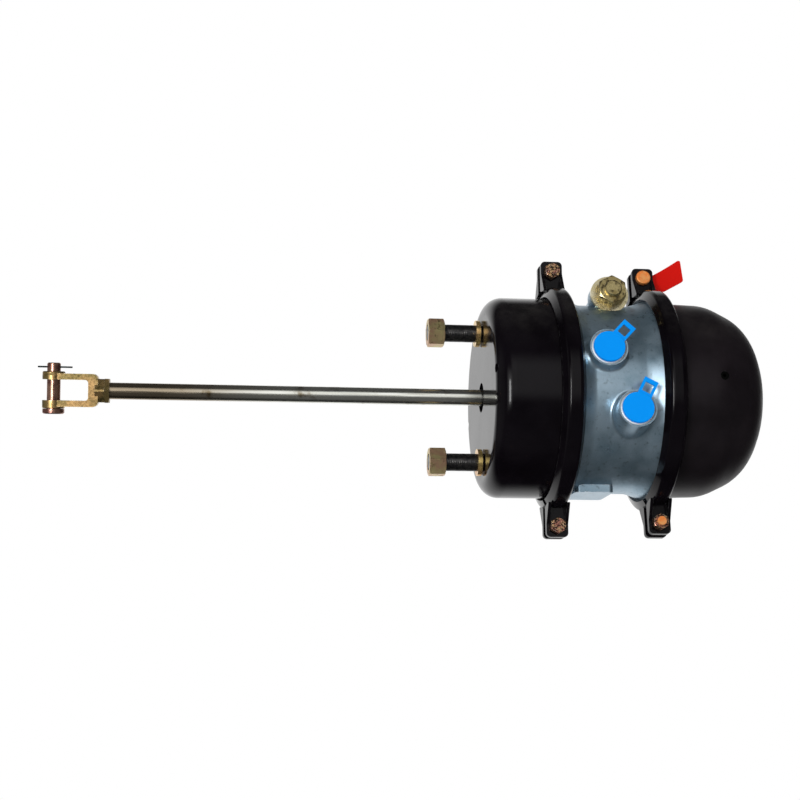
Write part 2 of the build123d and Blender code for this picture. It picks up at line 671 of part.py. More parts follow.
def cotter_pin():
    """Split pin: two legs side by side and a round eye."""
    leg = COTTER_WIRE_R + PIN_FIT / 2
    eye_x = -PIN_R - 0.6
    path = FilletPolyline(
        (COTTER_LEG, 3 * leg), (PIN_R + 2, leg), (eye_x, leg), (eye_x - 2, COTTER_EYE_R),
        (eye_x - 2 - 2 * COTTER_EYE_R, COTTER_EYE_R), (eye_x - 2 - 2 * COTTER_EYE_R, -COTTER_EYE_R),
        (eye_x - 2, -COTTER_EYE_R), (eye_x, -leg), (PIN_R + 2, -leg), (COTTER_LEG - 2, -3 * leg),
        radius=[1.6, 0.9, 0.9, 1.6, 1.6, 0.9, 0.9, 1.6],
    )
    section = Plane(origin=path @ 0, z_dir=path % 0) * Circle(COTTER_WIRE_R)
    wire = sweep(section, path=path)
    _, _, eye_end = pin_levels()
    return turned_clevis(Pos(CLEVIS_PIN_X, 0, eye_end + PIN_TAIL / 2) * wire)


# ---------------------------------------------------------------- mounting hardware
def for_studs(shape):
    """A copy of the shape on each stud axis."""
    return [Pos(0, 0, side * STUD_PCD / 2) * shape for side in (1, -1)]


def mounting_studs():
    """Pressed-in studs: free thread at full size, core size under washer and nut."""
    tip = -STUD_LENGTH
    washer_end = LOCK_X[0] - RUN
    stud = disc(STUD_SHANK_R, -STUD_SHANK_STANDS, HOUSING_WALL)
    stud += disc(STUD_R, -LOCK_SEAT + RUN, -STUD_SHANK_STANDS)
    stud += disc(STUD_CORE_R, washer_end, -LOCK_SEAT + RUN)
    stud += disc(STUD_R, tip + NUT_T + RUN, washer_end)
    core = disc(STUD_CORE_R, tip, tip + NUT_T + RUN)
    stud += chamfer(core.edges().group_by(Axis.X)[0], 1.2)
    stud += disc(STUD_HEAD_R, HOUSING_WALL, HOUSING_WALL + STUD_HEAD_T)
    return for_studs(stud)


def mounting_nuts():
    nut = hex_nut(NUT_AF, NUT_T, STUD_CORE_R + SEAT)
    return for_studs(along_x(nut, -STUD_LENGTH))


def lock_washers():
    """Split spring washers, their ends a little apart."""
    washer = ring(LOCK_R, STUD_CORE_R + SEAT, *LOCK_X)
    slit = Pos(sum(LOCK_X) / 2, 0, LOCK_R) * Rotation(0, 25, 0) * Box(
        3 * LOCK_T, LOCK_SPLIT, 2 * (LOCK_R - STUD_CORE_R) + 1
    )
    return for_studs(washer - Rotation(200, 0, 0) * slit)


# ---------------------------------------------------------------- inner train
def adapter_rod():
    """Hollow rod that carries the spring force through the web."""
    bore_r = ADAPTER_ROD_R - ADAPTER_BORE_WALL
    end = ADAPTER_PLATE_X + ADAPTER_PLATE_T
    return ring(ADAPTER_ROD_R, bore_r, FOOT_X + ADAPTER_FOOT_T, end)


def adapter_foot():
    """Foot that presses on the service diaphragm, with a spigot in the hollow rod."""
    spigot_r = ADAPTER_ROD_R - ADAPTER_BORE_WALL - SEAT
    back = FOOT_X + ADAPTER_FOOT_T
    return turned(
        [(FOOT_X, 0), (FOOT_X, ADAPTER_FOOT_R - 2), (FOOT_X + 2, ADAPTER_FOOT_R),
         (back, ADAPTER_FOOT_R), (back, spigot_r), (back + 8, spigot_r), (back + 8, 0)],
    )


def adapter_plate():
    """Plate that the spring diaphragm presses on."""
    end = ADAPTER_PLATE_X + ADAPTER_PLATE_T
    return ring(ADAPTER_PLATE_R, ADAPTER_ROD_R + SEAT, ADAPTER_PLATE_X, end)


def rod_bushing():
    """Guide bushing in the web, with two seal grooves."""
    start = WEB_MID - WEB_HUB_HALF + 1
    end = WEB_MID + WEB_HUB_HALF - 2 * RING_T
    bush = ring(BUSHING_R - SEAT, ADAPTER_ROD_R + PIN_FIT, start, end)
    for x in seal_places():
        bush -= ring(ADAPTER_ROD_R + 3.0, ADAPTER_ROD_R - 1, x - 1.6, x + 1.6)
    return bush


def seal_places():
    """Middles of the two seal grooves."""
    return WEB_MID - 3.5, WEB_MID + 2.5


def rod_seals():
    """Two O-rings round the adapter rod."""
    centre_r = ADAPTER_ROD_R + PIN_FIT + SEAL_WIRE_R
    seal = revolve(Pos(0, centre_r) * Circle(SEAL_WIRE_R), axis=Axis.X)
    return [Pos(x, 0, 0) * seal for x in seal_places()]


def retaining_ring():
    """Open snap ring that holds the bushing."""
    start = WEB_MID + WEB_HUB_HALF - 2 * RING_T + SEAT / 2
    snap = ring(BUSHING_R + RING_T - SEAT, BUSHING_R - 2.2, start, start + RING_T)
    return snap - Pos(start, 0, BUSHING_R) * Box(4 * RING_T, 6, 12)


def pressure_plate():
    """Spring piston with a centring rim and a keyed socket for the release bolt."""
    plate = turned(
        [(PISTON_X, 0), (PISTON_X, PISTON_R - 3), (PISTON_X + 3, PISTON_R),
         (PISTON_X + PISTON_T + 5, PISTON_R), (PISTON_X + PISTON_T + 5, PISTON_R - 3),
         (PISTON_X + PISTON_T, PISTON_R - 4), (PISTON_X + PISTON_T, PISTON_HUB_R + 2),
         (PISTON_X + PISTON_HUB_L, PISTON_HUB_R), (PISTON_X + PISTON_HUB_L, 0)],
    )
    plate -= disc(BOLT_LUG_HALF + 0.8, PISTON_X + PISTON_T, PISTON_X + PISTON_HUB_L - 5)
    plate -= disc(BOLT_R + 1.2, PISTON_X + PISTON_T, PISTON_X + PISTON_HUB_L + 1)
    slot = extrude(Rectangle(2 * BOLT_LUG_HALF + 1.6, 2 * BOLT_R), PISTON_HUB_L)
    return plate - along_x(slot, PISTON_X + PISTON_T)


def dust_plug():
    """Plug in the release-bolt hole of the dome."""
    face = DOME_END_X - DOME_DISH
    return turned(
        [(face - PLUG_DEPTH, 0), (face - PLUG_DEPTH, DOME_HOLE_R - 1.5),
         (face - PLUG_DEPTH + 2, DOME_HOLE_R - PIN_FIT),
         (face + RUN, DOME_HOLE_R - PIN_FIT), (face + RUN, PLUG_HEAD_R - 1),
         (face + RUN + PLUG_HEAD_T, PLUG_HEAD_R - 3), (face + RUN + PLUG_HEAD_T, 0)],
        [0, 0, 0, 0, 0, 1.2, 0],
    )


def vent_plug():
    """Rubber breather set into the vent hole of the dome."""
    face = dome_radius(VENT_X) - VENT_SET_IN
    plug = side_bar(VENT_R - SEAT, VENT_X, VENT_ACROSS, face - DOME_WALL + VENT_SET_IN, face)
    return plug - side_bar(VENT_FLOW_R, VENT_X, VENT_ACROSS, face - 2 * DOME_WALL, face + 1)


# ---------------------------------------------------------------- release bolt and caps
def caging_bolt():
    """Release bolt stowed in the pocket, its cross lug behind the far end."""
    tail = POCKET_FACE + BOLT_WASHER_T + BOLT_NUT_T + BOLT_TAIL
    lug_start = POCKET_BACK - RUN - BOLT_LUG_T
    bolt = side_bar(BOLT_R, POCKET_X, POCKET_OFFSET, lug_start, tail)
    bolt = bolt.chamfer(1.2, None, [bolt.edges().sort_by(Axis.Y)[0]])
    lug = RectangleRounded(2 * BOLT_LUG_HALF, 2 * BOLT_R, 3)
    return bolt + port_place(POCKET_X, POCKET_OFFSET, lug_start) * extrude(lug, BOLT_LUG_T)


def caging_washer():
    """Thick washer on the pocket's rim."""
    place = port_place(POCKET_X, POCKET_OFFSET, POCKET_FACE + RUN)
    washer = extrude(Circle(BOLT_WASHER_R), BOLT_WASHER_T - RUN) - extrude(
        Circle(BOLT_R + SEAT), BOLT_WASHER_T
    )
    return place * washer


def caging_nut():
    place = port_place(POCKET_X, POCKET_OFFSET, POCKET_FACE + BOLT_WASHER_T)
    return place * hex_nut(BOLT_NUT_AF, BOLT_NUT_T, BOLT_R + SEAT)


def port_cap(name):
    """Push-in plastic cap with a windowed pull tab and a hollow skirt."""
    x, across = PORTS[name]
    skirt_r = PORT_MOUTH_R - PIN_FIT
    cap = extrude(Circle(CAP_R), CAP_T)
    cap = fillet(cap.faces().sort_by(Axis.Z)[-1].edges(), CAP_EDGE)
    tab_end = CAP_R + TAB_LENGTH
    bar_along, bar_across = TAB_BARS
    tab = Pos((tab_end + TAB_START) / 2, 0) * Rectangle(tab_end - TAB_START, TAB_WIDTH)
    tab -= Pos(CAP_R + TAB_LENGTH / 2 - 1, 0) * Rectangle(
        TAB_LENGTH - bar_along, TAB_WIDTH - bar_across
    )
    cap += Rotation(0, 0, TAB_ANGLES[name]) * extrude(tab, CAP_T - TAB_THINNER)
    skirt = extrude(Circle(skirt_r), -(PORT_MOUTH_DEPTH - 2 * RUN)) - extrude(
        Circle(skirt_r - CAP_SKIRT_WALL), -PORT_MOUTH_DEPTH
    )
    return port_place(x, across, PORT_FACE + RUN) * (cap + skirt)


def warning_tag():
    """Thin red plastic flag held on the upper rear clamp bolt, between the ears."""
    shape = outline([(CLAMP_2_X + x, EAR_BOLT_R + z) for x, z in TAG_POINTS], TAG_CORNER)
    tag = Pos(0, TAG_T / 2, 0) * (Plane.XZ * extrude(shape, TAG_T))
    hole = Circle(CLAMP_BOLT_R + CLAMP_HOLE_FIT)
    return tag - Pos(CLAMP_2_X, 0, EAR_BOLT_R) * (Plane.XZ * extrude(hole, TAG_T, both=True))


def nodes():
    """Every named piece, as one shape or as a list of identical loose solids."""
    near_1, near_2 = clamp_half(CLAMP_1_X), clamp_half(CLAMP_2_X)
    return {
        "service_housing": service_housing(),
        "mounting_studs": mounting_studs(),
        "mounting_nuts": mounting_nuts(),
        "lock_washers": lock_washers(),
        "push_rod": push_rod(),
        "push_plate": push_plate(),
        "service_return_spring": service_return_spring(),
        "service_diaphragm": service_diaphragm(),
        "jam_nut": jam_nut(),
        "clevis": clevis(),
        "clevis_pin": clevis_pin(),
        "cotter_pin": cotter_pin(),
        "service_clamp_near": near_1,
        "service_clamp_far": far_side(near_1),
        "service_clamp_bolts": clamp_bolts(CLAMP_1_X, 1),
        "service_clamp_nuts": clamp_nuts(CLAMP_1_X, 1),
        "flange_case": flange_case(),
        "adapter_rod": adapter_rod(),
        "adapter_foot": adapter_foot(),
        "adapter_plate": adapter_plate(),
        "rod_bushing": rod_bushing(),
        "rod_seals": rod_seals(),
        "retaining_ring": retaining_ring(),
        "adapter_return_spring": adapter_return_spring(),
        "spring_diaphragm": spring_diaphragm(),
        "pressure_plate": pressure_plate(),
        "power_spring": power_spring(),
        "spring_housing": spring_housing(),
        "spring_clamp_near": rear_set(near_2),
        "spring_clamp_far": rear_set(far_side(near_2)),
        "spring_clamp_bolts": [rear_set(bolt) for bolt in clamp_bolts(CLAMP_2_X, -1)],
        "spring_clamp_nuts": [rear_set(nut) for nut in clamp_nuts(CLAMP_2_X, -1)],
        "dust_plug": dust_plug(),
        "vent_plug": vent_plug(),
        "caging_bolt": caging_bolt(),
        "caging_washer": caging_washer(),
        "caging_nut": caging_nut(),
        "service_port_cap": port_cap("service"),
        "spring_port_cap": port_cap("spring"),
        "warning_tag": rear_set(warning_tag()),
    }


def main():
    os.makedirs("parts", exist_ok=True)
    for name, shape in nodes().items():
        if isinstance(shape, list):
            shape = Compound(children=[solid for piece in shape for solid in piece.solids()])
        export_step(shape, f"parts/{name}.step")


main()
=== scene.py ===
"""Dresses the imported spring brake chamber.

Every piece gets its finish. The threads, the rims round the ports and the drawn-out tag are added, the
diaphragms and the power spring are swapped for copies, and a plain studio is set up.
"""

from __future__ import annotations

import logging
import math
from collections.abc import Iterable
from dataclasses import dataclass, field
from enum import Enum

import bmesh
import bpy
from mathutils import Matrix, Vector


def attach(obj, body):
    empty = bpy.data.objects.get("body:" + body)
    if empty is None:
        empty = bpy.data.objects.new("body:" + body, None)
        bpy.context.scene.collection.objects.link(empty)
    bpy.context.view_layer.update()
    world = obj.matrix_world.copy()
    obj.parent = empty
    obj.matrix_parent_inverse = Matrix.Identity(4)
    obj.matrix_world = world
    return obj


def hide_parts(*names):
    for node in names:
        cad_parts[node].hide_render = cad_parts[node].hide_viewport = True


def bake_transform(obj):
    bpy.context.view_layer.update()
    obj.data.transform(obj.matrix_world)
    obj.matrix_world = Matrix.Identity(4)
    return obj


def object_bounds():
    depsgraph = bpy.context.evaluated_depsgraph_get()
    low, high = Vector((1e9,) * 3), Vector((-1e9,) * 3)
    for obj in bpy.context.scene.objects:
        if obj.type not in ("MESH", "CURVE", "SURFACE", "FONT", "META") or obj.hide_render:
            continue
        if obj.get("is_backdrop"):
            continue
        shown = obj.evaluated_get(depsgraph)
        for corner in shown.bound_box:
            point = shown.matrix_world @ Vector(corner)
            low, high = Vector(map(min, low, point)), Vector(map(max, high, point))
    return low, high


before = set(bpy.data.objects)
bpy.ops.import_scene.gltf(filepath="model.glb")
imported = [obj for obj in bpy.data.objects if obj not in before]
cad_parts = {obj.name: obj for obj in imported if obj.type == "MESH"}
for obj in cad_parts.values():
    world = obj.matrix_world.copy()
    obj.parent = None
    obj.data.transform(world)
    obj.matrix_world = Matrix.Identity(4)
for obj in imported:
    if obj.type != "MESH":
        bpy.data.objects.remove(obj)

LOG = logging.getLogger("brake_chamber")
MM = 0.001
NOISE_REACH = (0.3, 0.7)  # nearly all of a noise's values lie between these
WHITE = (1.0, 1.0, 1.0, 1.0)
FRONT_CLAMP_X = 66.5 * MM
REAR_CLAMP_X = 157.5 * MM
REAR_CLAMP_TURN = 7.0  # degrees
CLAMP_BOLT_R = 119.0 * MM
SIDE_TILT = 8.0  # degrees that the ports and the release pocket lean above the horizon
Colour = tuple[float, float, float]
Span = tuple[float, float]
Material = bpy.types.Material
Node = bpy.types.Node
Socket = bpy.types.NodeSocket
Sockets = bpy.types.bpy_prop_collection


# ---- shader building
class Graph:
    """Adds and joins the nodes of one node tree."""

    def __init__(self, tree: bpy.types.NodeTree) -> None:
        """Keeps the tree that the nodes go into.

        Args:
            tree: a material's, the world's or a group's node tree.
        """
        self.tree = tree

    def add(self, kind: str, **settings: object) -> Node:
        """Makes a node.

        Args:
            kind: the node's Blender type.
            settings: attributes of the node.

        Returns:
            The new node.
        """
        node = self.tree.nodes.new(kind)
        for key, value in settings.items():
            setattr(node, key, value)
        return node

    def put(self, socket: Socket, value: object) -> None:
        """Joins an output to an input, or sets the input's own value.

        Args:
            socket: the input.
            value: an output socket, a number or a tuple.
        """
        if isinstance(value, Socket):
            self.tree.links.new(value, socket)
        else:
            socket.default_value = value

    def math(self, operation: str, *values: object, clamp: bool = False) -> Socket:
        """Works out one number from others.

        Args:
            operation: the Math node's operation.
            values: its inputs, as sockets or numbers.
            clamp: keeps the result from 0 to 1.

        Returns:
            The output socket.
        """
        node = self.add("ShaderNodeMath", operation=operation, use_clamp=clamp)
        for socket, value in zip(node.inputs, values):
            self.put(socket, value)
        return node.outputs[0]

    def span(self, value: object, low: float, high: float, to_low: float = 0.0,
             to_high: float = 1.0) -> Socket:
        """Maps a range of a number to another range, held inside it.

        Args:
            value: the number's socket.
            low: start of the range.
            high: end of the range.
            to_low: result at the start.
            to_high: result at the end.

        Returns:
            The output socket.
        """
        node = self.add("ShaderNodeMapRange", interpolation_type="SMOOTHSTEP")
        for key, number in zip(("Value", "From Min", "From Max", "To Min", "To Max"),
                               (value, low, high, to_low, to_high)):
            self.put(node.inputs[key], number)
        return node.outputs["Result"]

    def blend(self, mask: object, first: object, second: object) -> Socket:
        """Mixes two colours by a mask.

        Args:
            mask: 0 for the first colour, 1 for the second.
            first: a colour or its socket.
            second: a colour or its socket.

        Returns:
            The mixed colour's socket.
        """
        node = self.add("ShaderNodeMix", data_type="RGBA")
        self.put(node.inputs["Factor"], mask)
        for key, value in (("A", first), ("B", second)):
            socket = next(s for s in node.inputs if s.name == key and s.type == "RGBA")
            self.put(socket, (*value, 1.0) if isinstance(value, tuple) else value)
        return next(s for s in node.outputs if s.type == "RGBA")

    def times(self, first: object, second: object) -> Socket:
        """Product of two sockets or numbers."""
        return self.math("MULTIPLY", first, second)

    def split(self, vector: Socket) -> tuple[Socket, ...]:
        """Sockets of a vector's three coordinates."""
        node = self.add("ShaderNodeSeparateXYZ")
        self.put(node.inputs[0], vector)
        return tuple(node.outputs)

    def light(self, strength: object) -> Socket:
        """White light of a strength, for a world."""
        node = self.add("ShaderNodeBackground")
        self.put(node.inputs["Color"], WHITE)
        self.put(node.inputs["Strength"], strength)
        return node.outputs[0]

    def either(self, mask: object, first: object, second: object) -> Socket:
        """Mixes two shaders by a mask.

        Args:
            mask: 0 for the first shader, 1 for the second.
            first: a shader's socket.
            second: a shader's socket.

        Returns:
            The mixed shader's socket.
        """
        node = self.add("ShaderNodeMixShader")
        for socket, value in zip(node.inputs, (mask, first, second)):
            self.put(socket, value)
        return node.outputs[0]

    def group(self, effect: Effect, **values: object) -> Node:
        """Places one of the shared effects.

        Args:
            effect: which effect.
            values: its inputs by name, with _ for a space.

        Returns:
            The group node.
        """
        node = self.add("ShaderNodeGroup", node_tree=EFFECTS[effect])
        for key, value in values.items():
            self.put(node.inputs[key.replace("_", " ")], value)
        return node


class Effect(Enum):
    """Surface effects that several finishes share."""

    MOTTLE = "uneven_tone"
    RUB_AND_HIGHLIGHT = "edge_rub_and_highlight"
    GRAIN = "cast_grain"
    DUST = "settled_dust"


EFFECTS: dict[Effect, bpy.types.NodeTree] = {}


@dataclass
class EffectMaker:
    """Builds the shared effects as node groups, once.

    Over each span of a value its mask fades in. The edge's value is how far the rounded normal keeps to
    the true one. The shares weigh the parts of a casting's relief.
    """

    bevel_samples: int = 4
    edge_turn: Span = (0.995, 0.86)
    edge_breaks: Span = (0.42, 0.62)
    cell_share: float = 0.45
    speck_share: float = 0.6
    swell_share: float = 1.2
    pitted: Span = (0.40, 0.28)
    facing_up: Span = (0.25, 0.95)
    dust_cloud: Span = (0.35, 0.75)

    def start(self, effect: Effect, inputs: dict[str, float],
              outputs: Iterable[str]) -> tuple[Graph, Sockets, Sockets]:
        """Opens a group and names its sockets.

        Args:
            effect: which effect the group is for.
            inputs: the number inputs with their defaults.
            outputs: the number outputs.

        Returns:
            The group's graph, the sockets that it is given and the ones that it fills.
        """
        tree = bpy.data.node_groups.new(effect.value, "ShaderNodeTree")
        for name, default in inputs.items():
            socket = tree.interface.new_socket(name, in_out="INPUT", socket_type="NodeSocketFloat")
            socket.default_value = default
        for name in outputs:
            tree.interface.new_socket(name, in_out="OUTPUT", socket_type="NodeSocketFloat")
        EFFECTS[effect] = tree
        graph = Graph(tree)
        return graph, graph.add("NodeGroupInput").outputs, graph.add("NodeGroupOutput").inputs

    def place(self, graph: Graph, scale: object,
              stretch: Iterable[object] = (1.0, 1.0, 1.0)) -> Socket:
        """Surface position times a scale, drawn out along the axes.

        Args:
            graph: the group's graph.
            scale: the pattern's scale, as a socket or number.
            stretch: share of the scale along each axis.

        Returns:
            The position's socket.
        """
        where = graph.split(graph.add("ShaderNodeTexCoord").outputs["Object"])
        together = graph.add("ShaderNodeCombineXYZ")
        for socket, coordinate, share in zip(together.inputs, where, stretch):
            graph.put(socket, graph.times(graph.times(coordinate, scale), share))
        return together.outputs[0]

    def noise(self, graph: Graph, where: object, detail: float,
              roughness: float = 0.55) -> Socket:
        """Plain noise at a place.

        Args:
            graph: the group's graph.
            where: the position's socket.
            detail: number of octaves.
            roughness: strength of the finer octaves.

        Returns:
            The noise value's socket.
        """
        node = graph.add("ShaderNodeTexNoise")
        settings = {"Vector": where, "Scale": 1.0, "Detail": detail, "Roughness": roughness}
        for key, value in settings.items():
            graph.put(node.inputs[key], value)
        return node.outputs["Fac"]

    def mottle(self) -> None:
        """Cloudy tone: a mask and a soft height."""
        graph, given, out = self.start(
            Effect.MOTTLE, {"Scale": 60.0, "Low": 0.35, "High": 0.65, "Along": 1.0, "Across": 1.0},
            ("Mask", "Height"))
        stretch = (given["Along"], given["Across"], given["Across"])
        value = self.noise(graph, self.place(graph, given["Scale"], stretch), detail=5.0)
        graph.put(out["Mask"], graph.span(value, given["Low"], given["High"]))
        graph.put(out["Height"], value)

    def rub(self) -> None:
        """Mask of edges broken up by noise, for rubbed wear and for painted edge highlights."""
        graph, given, out = self.start(
            Effect.RUB_AND_HIGHLIGHT, {"Radius": 0.8 * MM, "Amount": 1.0, "Breakup": 220.0}, ("Mask",))
        bevel = graph.add("ShaderNodeBevel", samples=self.bevel_samples)
        graph.put(bevel.inputs["Radius"], given["Radius"])
        dot = graph.add("ShaderNodeVectorMath", operation="DOT_PRODUCT")
        graph.put(dot.inputs[0], bevel.outputs[0])
        graph.put(dot.inputs[1], graph.add("ShaderNodeNewGeometry").outputs["Normal"])
        edge = graph.span(dot.outputs["Value"], *self.edge_turn)
        broken = self.noise(graph, self.place(graph, given["Breakup"]), detail=4.0)
        worn = graph.times(edge, graph.span(broken, *self.edge_breaks))
        graph.put(out["Mask"], graph.math("MULTIPLY", worn, given["Amount"], clamp=True))

    def grain(self) -> None:
        """Skin of a casting: fine pits and a slow swell."""
        graph, given, out = self.start(Effect.GRAIN, {"Scale": 900.0, "Swell": 60.0}, ("Height", "Pits"))
        fine = self.place(graph, given["Scale"])
        cells = graph.add("ShaderNodeTexVoronoi", feature="SMOOTH_F1")
        graph.put(cells.inputs["Vector"], fine)
        graph.put(cells.inputs["Scale"], 1.0)
        slow = self.noise(graph, self.place(graph, given["Swell"]), detail=3.0)
        speck = self.noise(graph, fine, detail=3.0, roughness=0.6)
        mixed = graph.math("ADD", graph.times(cells.outputs["Distance"], self.cell_share),
                           graph.times(speck, self.speck_share))
        graph.put(out["Height"], graph.math("ADD", mixed, graph.times(slow, self.swell_share)))
        graph.put(out["Pits"], graph.span(speck, *self.pitted))

    def dust(self) -> None:
        """Mask of dust on surfaces that face up."""
        graph, given, out = self.start(Effect.DUST, {"Amount": 0.3, "Scale": 35.0}, ("Mask",))
        upward = graph.split(graph.add("ShaderNodeNewGeometry").outputs["Normal"])[2]
        cloud = self.noise(graph, self.place(graph, given["Scale"]), detail=6.0, roughness=0.7)
        film = graph.times(graph.span(upward, *self.facing_up), graph.span(cloud, *self.dust_cloud))
        graph.put(out["Mask"], graph.math("MULTIPLY", film, given["Amount"], clamp=True))

    def build(self) -> None:
        """Builds every effect."""
        for make in (self.mottle, self.rub, self.grain, self.dust):
            make()
        LOG.info("surface effects: %s", ", ".join(e.value for e in EFFECTS))


# ---- finishes
class Coat(Enum):
    """The finishes of the chamber's pieces."""

    GLOSS_BLACK = "gloss_black"
    SATIN_BLACK = "satin_black"
    BLACK_OXIDE = "black_oxide"
    YELLOW_ZINC = "yellow_zinc"
    CLEVIS_ZINC = "clevis_zinc"
    WASHER_ZINC = "washer_zinc"
    RELEASE_WASHER_ZINC = "release_washer_zinc"
    RELEASE_NUT_ZINC = "release_nut_zinc"
    CLAMP_NUT_ZINC = "clamp_nut_zinc"
    ORANGE_ZINC = "orange_zinc"
    COPPER_ZINC = "copper_zinc"
    BARE_STEEL = "bare_steel"
    ROD_STEEL = "rod_steel"
    DARK_WIRE = "dark_wire"
    MACHINED_ALUMINIUM = "machined_aluminium"
    SPRING_STEEL = "spring_steel"
    CAST_ALUMINIUM = "cast_aluminium"
    BLACK_RUBBER = "black_rubber"
    VENT_SHADE_RUBBER = "vent_shade_rubber"
    NYLON = "nylon"
    BLUE_PLASTIC = "blue_plastic"
    RED_PLASTIC = "red_plastic"


@dataclass(frozen=True)
class Finish:
    """What every finish has: a name, how rough it is, and a relief in metres."""

    name: Coat
    roughness: float = 0.42
    spread: float = 0.12
    relief: float = 0.02 * MM

    def open(self) -> tuple[Material, Graph, Node]:
        """Makes the empty material.

        Returns:
            The material, its graph and its Principled node.
        """
        material = bpy.data.materials.new(self.name.value)
        material.use_nodes = True
        graph = Graph(material.node_tree)
        shader = next(n for n in graph.tree.nodes if n.type == "BSDF_PRINCIPLED")
        return material, graph, shader

    def cloud(self, graph: Graph, scale: float, span: Span = (0.35, 0.65),
              **stretch: float) -> Sockets:
        """Places a cloudy tone.

        Args:
            graph: the material's graph.
            scale: how fine it is.
            span: the noise's values over which its mask fades in.
            stretch: shares of the scale Along and Across the chamber's axis.

        Returns:
            Its outputs, Mask and Height.
        """
        return graph.group(Effect.MOTTLE, Scale=scale, Low=span[0], High=span[1], **stretch).outputs

    def rough(self, graph: Graph, height: Socket) -> Socket:
        """Roughness that grows with a height.

        Args:
            graph: the material's graph.
            height: the height's socket.

        Returns:
            The roughness's socket.
        """
        return graph.span(height, *NOISE_REACH, self.roughness, self.roughness + self.spread)

    def bump(self, graph: Graph, shader: Node, height: Socket) -> None:
        """Gives the shader a bumped normal.

        Args:
            graph: the material's graph.
            shader: the Principled node.
            height: the height's socket.
        """
        node = graph.add("ShaderNodeBump")
        graph.put(node.inputs["Strength"], 1.0)
        graph.put(node.inputs["Distance"], self.relief)
        graph.put(node.inputs["Height"], height)
        graph.put(shader.inputs["Normal"], node.outputs["Normal"])


@dataclass(frozen=True)
class Enamel(Finish):
    """Sprayed paint on pressed steel, rubbed at the edges and a little dusty on top.

    Its paler clouds are the colour times the first lift, plus the second.
    """

    relief: float = 0.03 * MM
    colour: Colour = (0.0016, 0.0011, 0.0018)
    lift: Span = (1.7, 0.0008)
    rubbed: Colour = (0.10, 0.10, 0.10)
    dusty: Colour = (0.30, 0.28, 0.25)
    specular: float = 0.15
    cloud_scale: float = 28.0
    peel_scale: float = 420.0
    rub: float = 0.5
    rub_dulls: float = 0.3
    dust: float = 0.05
    dust_dulls: float = 0.5

    def build(self) -> Material:
        """Makes the material."""
        material, graph, shader = self.open()
        tone = self.cloud(graph, self.cloud_scale, NOISE_REACH)
        peel = self.cloud(graph, self.peel_scale)
        rub = graph.group(Effect.RUB_AND_HIGHLIGHT, Amount=self.rub).outputs["Mask"]
        dust = graph.group(Effect.DUST, Amount=self.dust).outputs["Mask"]
        lifted = tuple(c * self.lift[0] + self.lift[1] for c in self.colour)
        colour = graph.blend(rub, graph.blend(tone["Mask"], self.colour, lifted), self.rubbed)
        graph.put(shader.inputs["Base Color"], graph.blend(dust, colour, self.dusty))
        rough = graph.math("ADD", self.rough(graph, tone["Height"]), graph.times(rub, self.rub_dulls))
        graph.put(shader.inputs["Roughness"],
                  graph.math("ADD", rough, graph.times(dust, self.dust_dulls), clamp=True))
        shader.inputs["Specular IOR Level"].default_value = self.specular
        self.bump(graph, shader, peel["Height"])
        return material


@dataclass(frozen=True)
class Plating(Finish):
    """Chromated zinc on steel: two drifting tones, dark stains, pale edges as wear and painted highlight.
    """

    roughness: float = 0.28
    spread: float = 0.22
    relief: float = 0.06 * MM
    colour: Colour = (0.50, 0.40, 0.17)
    second: Colour = (0.42, 0.30, 0.16)
    stain: Colour = (0.10, 0.075, 0.035)
    edge_wear_and_highlight: Colour = (0.85, 0.74, 0.48)
    drifting: Span = (0.36, 0.64)
    stained: Span = (0.60, 0.78)
    stain_dulls: float = 0.2
    metallic: float = 0.9
    scale: float = 90.0
    stain_finer: float = 2.6
    skin_finer: float = 9.0
    rub: float = 0.8
    rub_radius: float = 0.6 * MM

    def build(self) -> Material:
        """Makes the material."""
        material, graph, shader = self.open()
        drift = self.cloud(graph, self.scale, self.drifting)
        stain = self.cloud(graph, self.scale * self.stain_finer, self.stained)
        skin = self.cloud(graph, self.scale * self.skin_finer)
        rub = graph.group(Effect.RUB_AND_HIGHLIGHT, Amount=self.rub, Radius=self.rub_radius).outputs["Mask"]
        colour = graph.blend(drift["Mask"], self.colour, self.second)
        colour = graph.blend(stain["Mask"], colour, self.stain)
        # pale edge colour: rubbed plating and a painted highlight on every edge
        graph.put(shader.inputs["Base Color"], graph.blend(rub, colour, self.edge_wear_and_highlight))
        shader.inputs["Metallic"].default_value = self.metallic
        dulled = graph.times(stain["Mask"], self.stain_dulls)
        graph.put(shader.inputs["Roughness"],
                  graph.math("ADD", self.rough(graph, skin["Height"]), dulled, clamp=True))
        self.bump(graph, shader, skin["Height"])
        return material


